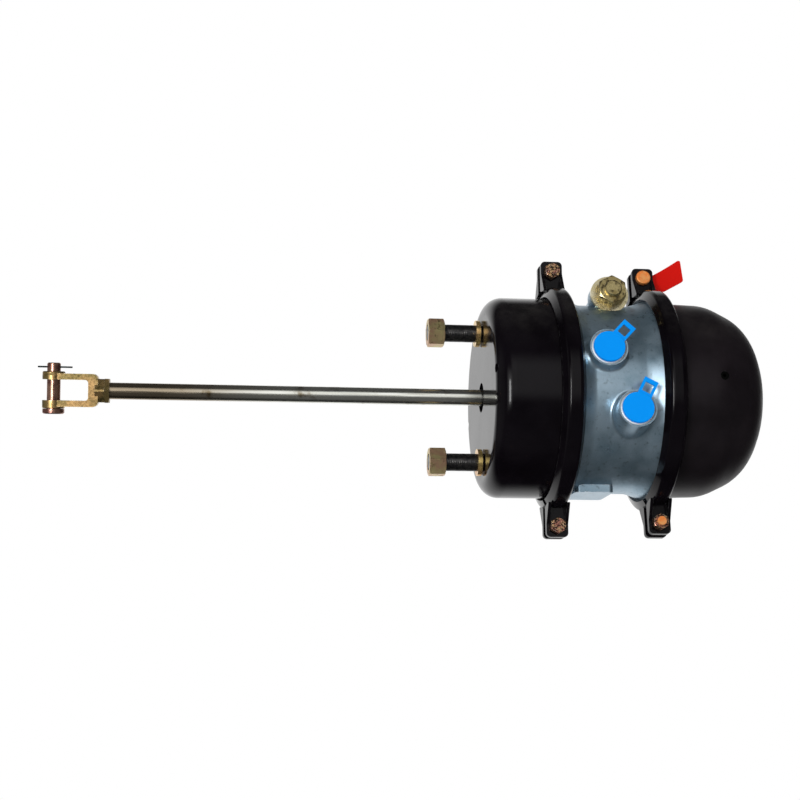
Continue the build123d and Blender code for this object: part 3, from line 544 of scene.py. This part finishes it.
@dataclass(frozen=True)
class Steel(Finish):
    """Bare or blackened steel with drawing or turning lines along or round the chamber axis.

    Where an overlay span is given, the colour turns browner from the first place along the axis to the
    second.
    """

    roughness: float = 0.24
    spread: float = 0.18
    relief: float = 0.04 * MM
    colour: Colour = (0.42, 0.39, 0.33)
    second: Colour = (0.28, 0.26, 0.22)
    stain: Colour = (0.06, 0.055, 0.05)
    film: Colour = (0.34, 0.28, 0.20)
    overlay_span: Span | None = None
    stained: Span = (0.62, 0.80)
    stain_scale: float = 70.0
    metallic: float = 1.0
    along: float = 0.03
    across: float = 1.0
    scale: float = 700.0

    def build(self) -> Material:
        """Makes the material."""
        material, graph, shader = self.open()
        drawn = self.cloud(graph, self.scale, NOISE_REACH, Along=self.along, Across=self.across)
        stain = self.cloud(graph, self.stain_scale, self.stained)
        colour = graph.blend(drawn["Mask"], self.colour, self.second)
        if self.overlay_span:
            # browner towards one end along the axis
            along = graph.split(graph.add("ShaderNodeTexCoord").outputs["Object"])[0]
            colour = graph.blend(graph.span(along, *self.overlay_span), colour, self.film)
        graph.put(shader.inputs["Base Color"], graph.blend(stain["Mask"], colour, self.stain))
        shader.inputs["Metallic"].default_value = self.metallic
        graph.put(shader.inputs["Roughness"], self.rough(graph, drawn["Height"]))
        self.bump(graph, shader, drawn["Height"])
        return material


@dataclass(frozen=True)
class CastMetal(Finish):
    """Die-cast aluminium: fine grain, pits, flow marks, pale edges as wear and painted highlight."""

    roughness: float = 0.27
    relief: float = 0.10 * MM
    colour: Colour = (0.27, 0.39, 0.48)
    second: Colour = (0.42, 0.55, 0.65)
    grime: Colour = (0.04, 0.055, 0.065)
    edge_wear_and_highlight: Colour = (0.85, 0.89, 0.92)
    dusty: Colour = (0.20, 0.19, 0.17)
    metallic: float = 0.9
    grain: float = 1500.0
    pit_share: float = 0.5
    tone_scale: float = 40.0
    toned: Span = (0.32, 0.68)
    flow_scale: float = 210.0
    flowed: Span = (0.56, 0.74)
    flow_share: float = 0.45
    rub: float = 0.9
    rub_radius: float = 1.2 * MM
    dust: float = 0.10

    def build(self) -> Material:
        """Makes the material."""
        material, graph, shader = self.open()
        skin = graph.group(Effect.GRAIN, Scale=self.grain).outputs
        tone = self.cloud(graph, self.tone_scale, self.toned)
        flow = self.cloud(graph, self.flow_scale, self.flowed)
        rub = graph.group(Effect.RUB_AND_HIGHLIGHT, Amount=self.rub, Radius=self.rub_radius).outputs["Mask"]
        dust = graph.group(Effect.DUST, Amount=self.dust).outputs["Mask"]
        colour = graph.blend(tone["Mask"], self.colour, self.second)
        colour = graph.blend(graph.times(flow["Mask"], self.flow_share), colour, self.grime)
        colour = graph.blend(graph.times(skin["Pits"], self.pit_share), colour, self.grime)
        # pale edge colour: rubbed metal and a painted highlight on every edge
        colour = graph.blend(rub, colour, self.edge_wear_and_highlight)
        graph.put(shader.inputs["Base Color"], graph.blend(dust, colour, self.dusty))
        shader.inputs["Metallic"].default_value = self.metallic
        graph.put(shader.inputs["Roughness"], self.rough(graph, tone["Height"]))
        self.bump(graph, shader, skin["Height"])
        return material


@dataclass(frozen=True)
class Moulded(Finish):
    """Moulded plastic or rubber: an even colour with a slight sheen, scuffs and a fine skin."""

    colour: Colour = (0.012, 0.012, 0.012)
    scuff: Colour = (0.03, 0.03, 0.03)
    dusty: Colour = (0.40, 0.38, 0.34)
    specular: float = 0.4
    skin_scale: float = 1300.0
    scuff_scale: float = 150.0
    scuffed: Span = (0.60, 0.85)
    dust: float = 0.04

    def build(self) -> Material:
        """Makes the material."""
        material, graph, shader = self.open()
        scuff = self.cloud(graph, self.scuff_scale, self.scuffed)
        skin = self.cloud(graph, self.skin_scale)
        dust = graph.group(Effect.DUST, Amount=self.dust).outputs["Mask"]
        colour = graph.blend(scuff["Mask"], self.colour, self.scuff)
        graph.put(shader.inputs["Base Color"], graph.blend(dust, colour, self.dusty))
        graph.put(shader.inputs["Roughness"], self.rough(graph, skin["Height"]))
        shader.inputs["Specular IOR Level"].default_value = self.specular
        self.bump(graph, shader, skin["Height"])
        return material


FINISHES: dict[Coat, Finish] = {
    finish.name: finish
    for finish in (
        Enamel(Coat.GLOSS_BLACK, roughness=0.10, spread=0.06),
        Enamel(Coat.SATIN_BLACK, colour=(0.0048, 0.0032, 0.0044), roughness=0.36, specular=0.22,
               relief=0.05 * MM, peel_scale=900.0, rub=0.3),
        Steel(Coat.BLACK_OXIDE, colour=(0.075, 0.072, 0.07), second=(0.02, 0.02, 0.022), metallic=0.9,
              roughness=0.26, along=1.0, scale=300.0),
        # each plating's pale edge colour paints both wear and a highlight on its edges
        Plating(Coat.YELLOW_ZINC, colour=(0.66, 0.56, 0.27), second=(0.62, 0.38, 0.24),
                stained=(0.56, 0.72)),
        Plating(Coat.CLEVIS_ZINC, colour=(0.28, 0.21, 0.08), second=(0.50, 0.31, 0.13),
                stain=(0.06, 0.05, 0.016), edge_wear_and_highlight=(1.0, 0.82, 0.52), roughness=0.22, spread=0.14,
                stained=(0.52, 0.70), scale=58.0, relief=0.012 * MM),
        Plating(Coat.WASHER_ZINC, colour=(0.80, 0.60, 0.22), second=(0.78, 0.46, 0.20),
                edge_wear_and_highlight=(1.0, 0.86, 0.55), roughness=0.16, spread=0.12, stained=(0.66, 0.82), scale=60.0),
        Plating(Coat.RELEASE_WASHER_ZINC, colour=(0.90, 0.83, 0.60), second=(0.80, 0.70, 0.42),
                edge_wear_and_highlight=(1.0, 0.95, 0.75), roughness=0.16, stained=(0.60, 0.76), rub=1.0,
                relief=0.02 * MM),
        Plating(Coat.RELEASE_NUT_ZINC, colour=(0.34, 0.26, 0.10), second=(0.56, 0.46, 0.22),
                stained=(0.48, 0.66), roughness=0.17, rub=1.0, relief=0.03 * MM),
        Plating(Coat.CLAMP_NUT_ZINC, colour=(0.66, 0.44, 0.22), second=(0.42, 0.17, 0.13),
                stain=(0.02, 0.012, 0.01), edge_wear_and_highlight=(1.0, 0.82, 0.70), stained=(0.42, 0.56), scale=240.0,
                roughness=0.18, relief=0.18 * MM),
        Plating(Coat.ORANGE_ZINC, colour=(0.97, 0.29, 0.06), second=(0.93, 0.42, 0.14),
                stain=(0.35, 0.14, 0.06), edge_wear_and_highlight=(1.0, 0.72, 0.45), metallic=0.55, roughness=0.42,
                stained=(0.60, 0.80), scale=200.0),
        Plating(Coat.COPPER_ZINC, colour=(0.22, 0.10, 0.08), second=(0.42, 0.24, 0.17),
                stain=(0.02, 0.01, 0.01), edge_wear_and_highlight=(0.9, 0.60, 0.42), roughness=0.14, spread=0.14,
                scale=120.0),
        Steel(Coat.BARE_STEEL),
        # the push rod turns browner towards its clevis end
        Steel(Coat.ROD_STEEL, colour=(0.88, 0.89, 0.84), second=(0.62, 0.62, 0.55), roughness=0.17,
              spread=0.12, stain=(0.20, 0.15, 0.08), stained=(0.57, 0.77), overlay_span=(-0.16, -0.30)),
        Steel(Coat.DARK_WIRE, colour=(0.05, 0.07, 0.07), second=(0.02, 0.03, 0.03), roughness=0.4),
        Steel(Coat.MACHINED_ALUMINIUM, colour=(0.88, 0.90, 0.93), second=(0.70, 0.73, 0.77),
              roughness=0.28, along=1.0, scale=900.0, stain=(0.35, 0.36, 0.38), stained=(0.66, 0.84)),
        Steel(Coat.SPRING_STEEL, colour=(0.06, 0.06, 0.065), second=(0.10, 0.10, 0.11), roughness=0.35,
              along=1.0, scale=500.0),
        CastMetal(Coat.CAST_ALUMINIUM),
        Moulded(Coat.BLACK_RUBBER, roughness=0.55),
        # the vent plug's rubber is painted near-black with hardly any shine, as painted shade inside the
        # vent hole
        Moulded(Coat.VENT_SHADE_RUBBER, colour=(0.001, 0.001, 0.001), scuff=(0.002, 0.002, 0.002),
                roughness=0.8, specular=0.05, dust=0.0),
        Moulded(Coat.NYLON, colour=(0.62, 0.60, 0.52), scuff=(0.70, 0.68, 0.60), roughness=0.40),
        Moulded(Coat.BLUE_PLASTIC, colour=(0.0, 0.255, 0.80), scuff=(0.0, 0.28, 0.86), roughness=0.55,
                specular=0.06, dust=0.0),
        Moulded(Coat.RED_PLASTIC, colour=(0.58, 0.004, 0.001), scuff=(0.66, 0.008, 0.002),
                specular=0.10),
    )
}
MATERIALS: dict[Coat, Material] = {}


def finished(coat: Coat) -> Material:
    """The material of a finish, made when it is first asked for.

    Args:
        coat: the finish.

    Returns:
        Its material.
    """
    if coat not in MATERIALS:
        MATERIALS[coat] = FINISHES[coat].build()
    return MATERIALS[coat]


def dress(coat: Coat, *nodes: str) -> None:
    """Gives CAD nodes a finish.

    Args:
        coat: the finish.
        nodes: their names.
    """
    for name in nodes:
        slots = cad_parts[name].data.materials
        slots.clear()
        slots.append(finished(coat))
        LOG.info("%s in %s", name, coat.value)


def add_piece(name: str, mesh: bmesh.types.BMesh, body: str, coat: Coat,
              smooth: bool = True) -> bpy.types.Object:
    """Makes an object from a mesh and lets it ride on a body.

    Args:
        name: the piece's name.
        mesh: its shape, in metres in the shared frame.
        body: the CAD body it moves with.
        coat: its finish.
        smooth: shades it smooth.

    Returns:
        The object.
    """
    data = bpy.data.meshes.new(name)
    bmesh.ops.recalc_face_normals(mesh, faces=mesh.faces)
    mesh.to_mesh(data)
    mesh.free()
    for polygon in data.polygons:
        polygon.use_smooth = smooth
    piece = bpy.data.objects.new(name, data)
    bpy.context.scene.collection.objects.link(piece)
    data.materials.append(finished(coat))
    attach(piece, body)
    LOG.info("%s on %s: %d faces", name, body, len(data.polygons))
    return piece


# ---- threads
@dataclass
class Thread:
    """Helical ridge of a metric thread round a straight axis.

    Half the ridge's width at its foot and its crest are shares of the pitch.
    """

    radius: float
    pitch: float
    start: Vector
    end: Vector
    depth: float = 0.55 * MM
    foot: float = 0.5
    crest: float = 0.12
    steps: int = 28

    def mesh(self, into: bmesh.types.BMesh) -> None:
        """Adds the ridge to a mesh.

        Args:
            into: the mesh.
        """
        axis = (self.end - self.start).normalized()
        side = axis.orthogonal().normalized()
        other = axis.cross(side)
        length = (self.end - self.start).length
        count = max(2, int(length / self.pitch * self.steps))
        profile = ((self.foot, -self.depth), (self.crest, 0.0),
                   (-self.crest, 0.0), (-self.foot, -self.depth))
        rows = []
        for i in range(count + 1):
            angle = 2 * math.pi * i / self.steps
            out = side * math.cos(angle) + other * math.sin(angle)
            along = length * i / count
            row = []
            for shift, height in profile:
                place = min(max(along + shift * self.pitch, 0.0), length)
                fade = min(1.0, along / self.pitch, (length - along) / self.pitch)
                lift = height if fade >= 1.0 else -self.depth + (height + self.depth) * fade
                row.append(into.verts.new(self.start + axis * place + out * (self.radius + lift)))
            rows.append(row)
        for first, second in zip(rows, rows[1:]):
            for a in range(len(profile) - 1):
                into.faces.new((first[a], first[a + 1], second[a + 1], second[a]))


@dataclass
class Turned:
    """Ring turned about a straight axis from a closed profile of (radius, height) corners."""

    profile: tuple[Span, ...]
    origin: Vector
    axis: Vector
    steps: int = 96

    def mesh(self, into: bmesh.types.BMesh) -> None:
        """Adds the ring to a mesh.

        Args:
            into: the mesh.
        """
        side = self.axis.orthogonal().normalized()
        other = self.axis.cross(side)
        rows = []
        for i in range(self.steps):
            angle = 2 * math.pi * i / self.steps
            out = side * math.cos(angle) + other * math.sin(angle)
            rows.append([into.verts.new(self.origin + out * r + self.axis * h) for r, h in self.profile])
        for first, second in zip(rows, rows[1:] + rows[:1]):
            for a, b in zip(range(len(first)), (*range(1, len(first)), 0)):
                into.faces.new((first[a], first[b], second[b], second[a]))


def side_axis() -> tuple[Vector, Vector]:
    """Directions of the leaning port and pocket axes: outward, and across that."""
    tilt = math.radians(SIDE_TILT)
    return Vector((0, -math.cos(tilt), math.sin(tilt))), Vector((0, math.sin(tilt), math.cos(tilt)))


# ---- sub-assemblies
@dataclass
class MountingSet:
    """Two studs in the mounting face with their nuts and split washers."""

    stud_gap: float = 120.65 * MM
    thread_r: float = 8.06 * MM
    pitch: float = 2.0 * MM
    grip: Span = (-5.7 * MM, -34.0 * MM)

    def build(self) -> None:
        """Dresses the studs and cuts their threads."""
        dress(Coat.BLACK_OXIDE, "mounting_studs")
        dress(Coat.YELLOW_ZINC, "mounting_nuts")
        dress(Coat.WASHER_ZINC, "lock_washers")
        mesh = bmesh.new()
        for side in (1, -1):
            z = side * self.stud_gap / 2
            Thread(self.thread_r, self.pitch, Vector((self.grip[0], 0, z)),
                   Vector((self.grip[1], 0, z))).mesh(mesh)
        add_piece("stud_threads", mesh, "chamber", Coat.BLACK_OXIDE)


@dataclass
class Housings:
    """The two pressed steel housings with the vent and the rear plug."""

    def build(self) -> None:
        """Dresses them."""
        dress(Coat.GLOSS_BLACK, "service_housing")
        dress(Coat.SATIN_BLACK, "spring_housing")
        dress(Coat.BLACK_RUBBER, "dust_plug")
        # the vent plug's finish paints the shade of the vent hole
        dress(Coat.VENT_SHADE_RUBBER, "vent_plug")


class Side(Enum):
    """The chamber's two clamped joints."""

    SERVICE = "service"
    SPRING = "spring"


@dataclass
class ClampJoint:
    """One clamped joint: two half bands, bolts and nuts, and the bolts' threaded tails.

    The turn is in degrees about the chamber. The upper bolt's tail points forward (1) or away (-1).
    """

    side: Side
    plane_x: float
    turn: float = 0.0
    upper_forward: int = 1
    bolts: Coat = Coat.CLAMP_NUT_ZINC
    tail: Span = (16.4 * MM, 18.7 * MM)
    thread_r: float = 4.05 * MM
    thread_depth: float = 0.4 * MM
    pitch: float = 1.25 * MM

    def tails(self) -> None:
        """Cuts the threads that stand out of the nuts."""
        mesh = bmesh.new()
        about = Matrix.Rotation(math.radians(-self.turn), 3, "X")
        for level, forward in ((1, self.upper_forward), (-1, 1)):
            start, end = (about @ Vector((0, -forward * y, level * CLAMP_BOLT_R)) for y in self.tail)
            along = Vector((self.plane_x, 0, 0))
            Thread(self.thread_r, self.pitch, start + along, end + along, self.thread_depth).mesh(mesh)
        add_piece(f"{self.side.value}_clamp_threads", mesh, "chamber", self.bolts)

    def build(self) -> None:
        """Dresses them."""
        clamp = f"{self.side.value}_clamp"
        dress(Coat.GLOSS_BLACK, f"{clamp}_near", f"{clamp}_far")
        dress(Coat.CLAMP_NUT_ZINC, f"{clamp}_nuts")
        dress(self.bolts, f"{clamp}_bolts")
        self.tails()


@dataclass
class Case:
    """The cast flange case."""

    def build(self) -> None:
        """Dresses it."""
        dress(Coat.CAST_ALUMINIUM, "flange_case")


@dataclass
class ReleaseKit:
    """Stowed release bolt with its washer and nut, and its threaded end.

    The pocket's axis stands at a place along the chamber and a distance from its axis. The tail lies
    between two places along the pocket.
    """

    pocket: Span = (114.0 * MM, 85.0 * MM)
    tail: Span = (63.6 * MM, 65.3 * MM)
    thread_r: float = 7.95 * MM
    thread_depth: float = 0.5 * MM
    pitch: float = 2.0 * MM

    def build(self) -> None:
        """Dresses them and cuts the thread beyond the nut."""
        dress(Coat.RELEASE_WASHER_ZINC, "caging_washer")
        dress(Coat.RELEASE_NUT_ZINC, "caging_bolt", "caging_nut")
        out, across = side_axis()
        foot = Vector((self.pocket[0], 0, 0)) + across * self.pocket[1]
        mesh = bmesh.new()
        start, end = (foot + out * reach for reach in self.tail)
        Thread(self.thread_r, self.pitch, start, end, self.thread_depth).mesh(mesh)
        add_piece("release_thread", mesh, "release_bolt", Coat.RELEASE_NUT_ZINC)


@dataclass
class RodEnd:
    """Push rod, jam nut, clevis and pin."""

    def build(self) -> None:
        """Dresses them."""
        dress(Coat.ROD_STEEL, "push_rod")
        dress(Coat.BARE_STEEL, "push_plate")
        dress(Coat.CLEVIS_ZINC, "jam_nut", "clevis")
        dress(Coat.COPPER_ZINC, "clevis_pin")
        dress(Coat.DARK_WIRE, "cotter_pin")


@dataclass
class Ports:
    """Blue caps in the two air ports, and the machined faces that they sit on.

    Each port's centre is a place along the chamber and one across the tilted face. The rim's corners are
    radii and heights over the face, in millimetres.
    """

    centres: tuple[Span, ...] = ((98.0 * MM, 15.0 * MM), (120.0 * MM, -41.0 * MM))
    face: float = 97.5 * MM
    rim: tuple[Span, ...] = (
        (12.8, -0.4), (12.8, 0.2), (14.2, 0.22), (15.2, 0.1),
        (16.0, -0.15), (16.6, -0.6), (16.97, -1.3), (16.6, -1.6))

    def build(self) -> None:
        """Dresses the caps and turns the faces."""
        dress(Coat.BLUE_PLASTIC, "service_port_cap", "spring_port_cap")
        out, across = side_axis()
        rim = tuple((r * MM, h * MM) for r, h in self.rim)
        mesh = bmesh.new()
        for x, offset in self.centres:
            Turned(rim, Vector((x, 0, 0)) + out * self.face + across * offset, out).mesh(mesh)
        add_piece("port_faces", mesh, "chamber", Coat.MACHINED_ALUMINIUM)


@dataclass
class InnerTrain:
    """Rubber, springs and the sliding parts inside.

    Each diaphragm and the power spring is swapped for a copy. Each row of held gives the node, the body
    that pushes it, its finish, and the places along the axis where it would go with that body and stay in
    the chamber.
    """

    held: tuple[tuple[str, str, Coat, float, float], ...] = (
        ("service_diaphragm", "push_rod", Coat.BLACK_RUBBER, 16.0 * MM, 63.0 * MM),
        ("spring_diaphragm", "adapter", Coat.BLACK_RUBBER, 107.0 * MM, 154.0 * MM),
        ("power_spring", "piston", Coat.SPRING_STEEL, 113.0 * MM, 249.4 * MM),
    )

    def give(self, node: str, mover: str, coat: Coat, moves_at: float, held_at: float) -> None:
        """Puts a copy of a node in its place, in a finish, and hides the node.

        Args:
            node: the CAD node.
            mover: the body that pushes it.
            coat: its finish, which its material slot is named after.
            moves_at: not used.
            held_at: not used.
        """
        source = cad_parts[node]
        data = source.data.copy()
        data.materials.clear()
        data.materials.append(finished(coat))
        piece = bpy.data.objects.new(f"{node}_giving", data)
        bpy.context.scene.collection.objects.link(piece)
        piece.matrix_world = source.matrix_world.copy()
        bpy.context.view_layer.update()
        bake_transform(piece)
        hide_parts(node)
        LOG.info("%s gives between %s and chamber", piece.name, mover)

    def build(self) -> None:
        """Dresses them and swaps the soft ones for copies."""
        dress(Coat.BLACK_RUBBER, "rod_seals")
        dress(Coat.SPRING_STEEL, "service_return_spring", "adapter_return_spring", "retaining_ring")
        dress(Coat.BARE_STEEL, "adapter_rod", "adapter_plate")
        dress(Coat.CAST_ALUMINIUM, "adapter_foot", "pressure_plate")
        dress(Coat.NYLON, "rod_bushing")
        for row in self.held:
            self.give(*row)


@dataclass
class Tag:
    """Red flag on the upper rear clamp bolt, drawn out and curled as a soft plastic one is.

    It is drawn out from a place beyond the bolt. Its free end is raised by the first amount, and its upper
    edge by up to the second more.
    """

    free_from: float = 10.5 * MM
    reach: float = 27.0 * MM
    slices: int = 14
    longer: float = 2.6 * MM
    raised: Span = (3.0 * MM, 2.6 * MM)
    height: float = 20.5 * MM
    level_at_bolt: float = 0.12
    curl: float = 3.5 * MM

    def build(self) -> None:
        """Shapes the flag over the flat one."""
        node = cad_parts["warning_tag"]
        mesh = bmesh.new()
        mesh.from_mesh(node.data)
        mesh.transform(node.matrix_world)
        root = REAR_CLAMP_X + self.free_from
        for i in range(self.slices + 1):
            cut = Vector((root + self.reach * i / self.slices, 0, 0))
            bmesh.ops.bisect_plane(mesh, geom=[*mesh.verts, *mesh.edges, *mesh.faces], plane_co=cut,
                                   plane_no=Vector((1, 0, 0)))
        turn = math.radians(REAR_CLAMP_TURN)
        out = Vector((0, math.sin(turn), math.cos(turn)))
        side = Vector((0, -math.cos(turn), math.sin(turn)))
        for vert in mesh.verts:
            share = max(0.0, (vert.co.x - root) / self.reach)
            level = (vert.co.dot(out) - CLAMP_BOLT_R) / self.height + self.level_at_bolt
            level = min(1.0, max(0.0, level))
            lift = (self.raised[0] + self.raised[1] * level) * share
            vert.co += Vector((self.longer * share, 0, 0)) + out * lift + side * self.curl * share**2
        add_piece("tag_flag", mesh, "chamber", Coat.RED_PLASTIC, smooth=False)
        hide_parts("warning_tag")


# ---- studio
@dataclass
class Lamp:
    """One soft rectangular lamp."""

    name: str
    place: tuple[float, float, float]
    size: Span
    power: float
    aim: tuple[float, float, float] = (0.1, 0.0, 0.0)
    mirrored: bool = True
    on_floor: bool = True

    def build(self, floor: bpy.types.Object) -> None:
        """Hangs the lamp.

        Args:
            floor: the floor, which a lamp that stands through it doesn't light.
        """
        data = bpy.data.lights.new(self.name, "AREA")
        data.shape = "RECTANGLE"
        data.size, data.size_y = self.size
        data.energy = self.power
        lamp = bpy.data.objects.new(self.name, data)
        lamp.location = self.place
        lamp.visible_glossy = self.mirrored
        lamp.rotation_euler = (Vector(self.aim) - Vector(self.place)).to_track_quat("-Z", "Y").to_euler()
        bpy.context.scene.collection.objects.link(lamp)
        if not self.on_floor:
            lit = bpy.data.collections.new(f"{self.name}_lights")
            lit.objects.link(floor)
            lit.collection_objects[0].light_linking.link_state = "EXCLUDE"
            lamp.light_linking.receiver_collection = lit


@dataclass
class CameraStand:
    """Camera below the axis that looks up at the chamber's side.

    The angles are in degrees, and the lens and the place of the frame's origin in pixels of the picture.
    """

    lens_px: float = 1630.5
    image_px: float = 800.0
    origin_px: Span = (481.2, 397.8)
    sensor: float = 36.0
    distance: float = 1.5
    yaw: float = 6.61
    roll: float = 1.06
    climb: float = 11.35
    clip: Span = (0.05, 200.0)

    def build(self) -> None:
        """Sets the camera up."""
        yaw, roll = math.radians(self.yaw), math.radians(self.roll)
        ahead = Vector((math.sin(yaw), math.cos(yaw), 0))
        right = Vector((math.cos(yaw), -math.sin(yaw), 0))
        up = Vector((0, 0, 1))
        turned_right = right * math.cos(roll) + up * math.sin(roll)
        turned_up = up * math.cos(roll) - right * math.sin(roll)
        middle = self.image_px / 2
        across = (self.origin_px[0] - middle) / self.lens_px * self.distance
        rise = (middle - self.origin_px[1]) / self.lens_px * self.distance
        place = -(ahead * self.distance + turned_right * across + turned_up * rise)
        turn = Matrix.Rotation(math.radians(self.climb), 3, "X")
        axes = Matrix((turned_right, turned_up, -ahead)).transposed()
        data = bpy.data.cameras.new("camera")
        data.sensor_width = self.sensor
        data.lens = self.lens_px * self.sensor / self.image_px
        data.clip_start, data.clip_end = self.clip
        camera = bpy.data.objects.new("camera", data)
        camera.matrix_world = Matrix.Translation(turn @ place) @ (turn @ axes).to_4x4()
        bpy.context.scene.collection.objects.link(camera)
        bpy.context.scene.camera = camera


@dataclass
class Surroundings:
    """The world: white to the camera, an even sky for matt surfaces, and a room for mirrors.

    Each part of the room fades in over a span of one coordinate of the direction. A window is given by
    its middle, its half width at full strength and its half width where it has faded out.
    """

    sky_level: float = 0.62
    room_level: float = 0.012
    backdrop_y: Span = (0.55, 0.86)
    ceiling_z: Span = (0.55, 0.98)
    ceiling_level: float = 0.05
    side_x: Span = (-0.75, -0.97)
    side_level: float = 0.25
    bench_z: Span = (0.35, -0.15)
    bench_y: Span = (0.1, -0.4)
    bench_level: float = 0.08
    front_y: Span = (-0.3, -0.6)
    softbox_x: tuple[float, float, float] = (-0.02, 0.16, 0.42)
    softbox_z: tuple[float, float, float] = (0.20, 0.22, 0.50)
    softbox_level: float = 1.1
    glow_x: tuple[float, float, float] = (-0.52, 0.06, 0.30)
    glow_z: tuple[float, float, float] = (0.02, 0.14, 0.42)
    glow_level: float = 3.0

    def window(self, graph: Graph, value: object, middle: float, inner: float,
               outer: float) -> Socket:
        """Soft-edged window on one coordinate of a direction.

        Args:
            graph: the world's graph.
            value: the coordinate's socket.
            middle: the window's middle.
            inner: half width at full strength.
            outer: half width where it has faded out.

        Returns:
            A mask that is 1 inside the window.
        """
        away = graph.math("ABSOLUTE", graph.math("SUBTRACT", value, middle))
        return graph.span(away, outer, inner)

    def room(self, graph: Graph) -> Socket:
        """What mirrors see: the backdrop, a dim room, and two windows behind the camera.

        Args:
            graph: the world's graph.

        Returns:
            The brightness in each direction.
        """
        x, y, z = graph.split(graph.add("ShaderNodeTexCoord").outputs["Generated"])
        backdrop = graph.span(y, *self.backdrop_y)
        ceiling = graph.span(z, *self.ceiling_z, 0.0, self.ceiling_level)
        side = graph.span(x, *self.side_x, 0.0, self.side_level)
        bench = graph.times(graph.span(z, *self.bench_z),
                            graph.span(y, *self.bench_y, 0.0, self.bench_level))
        softbox, glow = (
            graph.times(graph.times(self.window(graph, x, *wide), self.window(graph, z, *tall)),
                        graph.span(y, *self.front_y, 0.0, level))
            for wide, tall, level in ((self.softbox_x, self.softbox_z, self.softbox_level),
                                      (self.glow_x, self.glow_z, self.glow_level)))
        level = backdrop
        for part in (ceiling, side, softbox, bench):
            level = graph.math("MAXIMUM", level, part)
        return graph.math("ADD", graph.math("ADD", level, self.room_level), glow)

    def build(self) -> None:
        """Sets the world up."""
        world = bpy.data.worlds.new("studio")
        world.use_nodes = True
        bpy.context.scene.world = world
        graph = Graph(world.node_tree)
        graph.tree.nodes.clear()
        path = graph.add("ShaderNodeLightPath").outputs
        sky, mirrored, seen = (graph.light(level) for level in (self.sky_level, self.room(graph), 1.0))
        shiny = graph.math("MAXIMUM", path["Is Glossy Ray"], path["Is Transmission Ray"])
        surface = graph.either(path["Is Camera Ray"], graph.either(shiny, sky, mirrored), seen)
        graph.put(graph.add("ShaderNodeOutputWorld").inputs["Surface"], surface)


@dataclass
class Floor:
    """Pale floor under the part, open from below and unseen by mirrors and shadows."""

    gap: float = 0.5 * MM
    reach: float = 40.0
    colour: Colour = (0.95, 0.95, 0.95)
    roughness: float = 0.8

    def build(self) -> bpy.types.Object:
        """Lays the floor.

        Returns:
            The floor.
        """
        mesh = bmesh.new()
        bmesh.ops.create_grid(mesh, x_segments=1, y_segments=1, size=self.reach)
        data = bpy.data.meshes.new("floor")
        mesh.to_mesh(data)
        mesh.free()
        floor = bpy.data.objects.new("floor", data)
        floor.location = (0, 0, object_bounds()[0].z - self.gap)
        bpy.context.scene.collection.objects.link(floor)
        material = bpy.data.materials.new("pale_floor")
        material.use_nodes = True
        graph = Graph(material.node_tree)
        nodes = {node.type: node for node in graph.tree.nodes}
        shader = nodes["BSDF_PRINCIPLED"]
        shader.inputs["Base Color"].default_value = (*self.colour, 1.0)
        shader.inputs["Roughness"].default_value = self.roughness
        path = graph.add("ShaderNodeLightPath").outputs
        unseen = graph.math("MAXIMUM", path["Is Glossy Ray"], path["Is Shadow Ray"])
        backside = graph.add("ShaderNodeNewGeometry").outputs["Backfacing"]
        surface = graph.either(graph.math("MAXIMUM", backside, unseen), shader.outputs[0],
                               graph.add("ShaderNodeBsdfTransparent").outputs[0])
        graph.put(nodes["OUTPUT_MATERIAL"].inputs["Surface"], surface)
        data.materials.append(material)
        floor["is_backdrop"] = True
        return floor


@dataclass
class Studio:
    """Camera, surroundings, floor and lamps."""

    lamps: list[Lamp] = field(default_factory=lambda: [
        Lamp("overhead", (0.3, -0.9, 1.6), (0.9, 0.5), 7.0, mirrored=False),
        Lamp("left_box", (-1.15, -1.95, -0.10), (0.36, 0.90), 22.0, on_floor=False),
    ])

    def build(self) -> None:
        """Sets the whole studio up."""
        CameraStand().build()
        Surroundings().build()
        floor = Floor().build()
        for lamp in self.lamps:
            lamp.build(floor)
        bpy.context.scene.view_settings.view_transform = "Standard"


def main() -> None:
    """Builds the classes in order."""
    logging.basicConfig(level=logging.INFO, format="%(name)s: %(message)s")
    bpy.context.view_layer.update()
    EffectMaker().build()
    front = ClampJoint(Side.SERVICE, FRONT_CLAMP_X)
    rear = ClampJoint(Side.SPRING, REAR_CLAMP_X, REAR_CLAMP_TURN, upper_forward=-1, bolts=Coat.ORANGE_ZINC)
    for assembly in (MountingSet(), Housings(), front, rear, Case(), ReleaseKit(), RodEnd(), Ports(),
                     InnerTrain(), Tag(), Studio()):
        assembly.build()
        LOG.info("%s done", type(assembly).__name__)


if __name__ == "__main__":
    main()
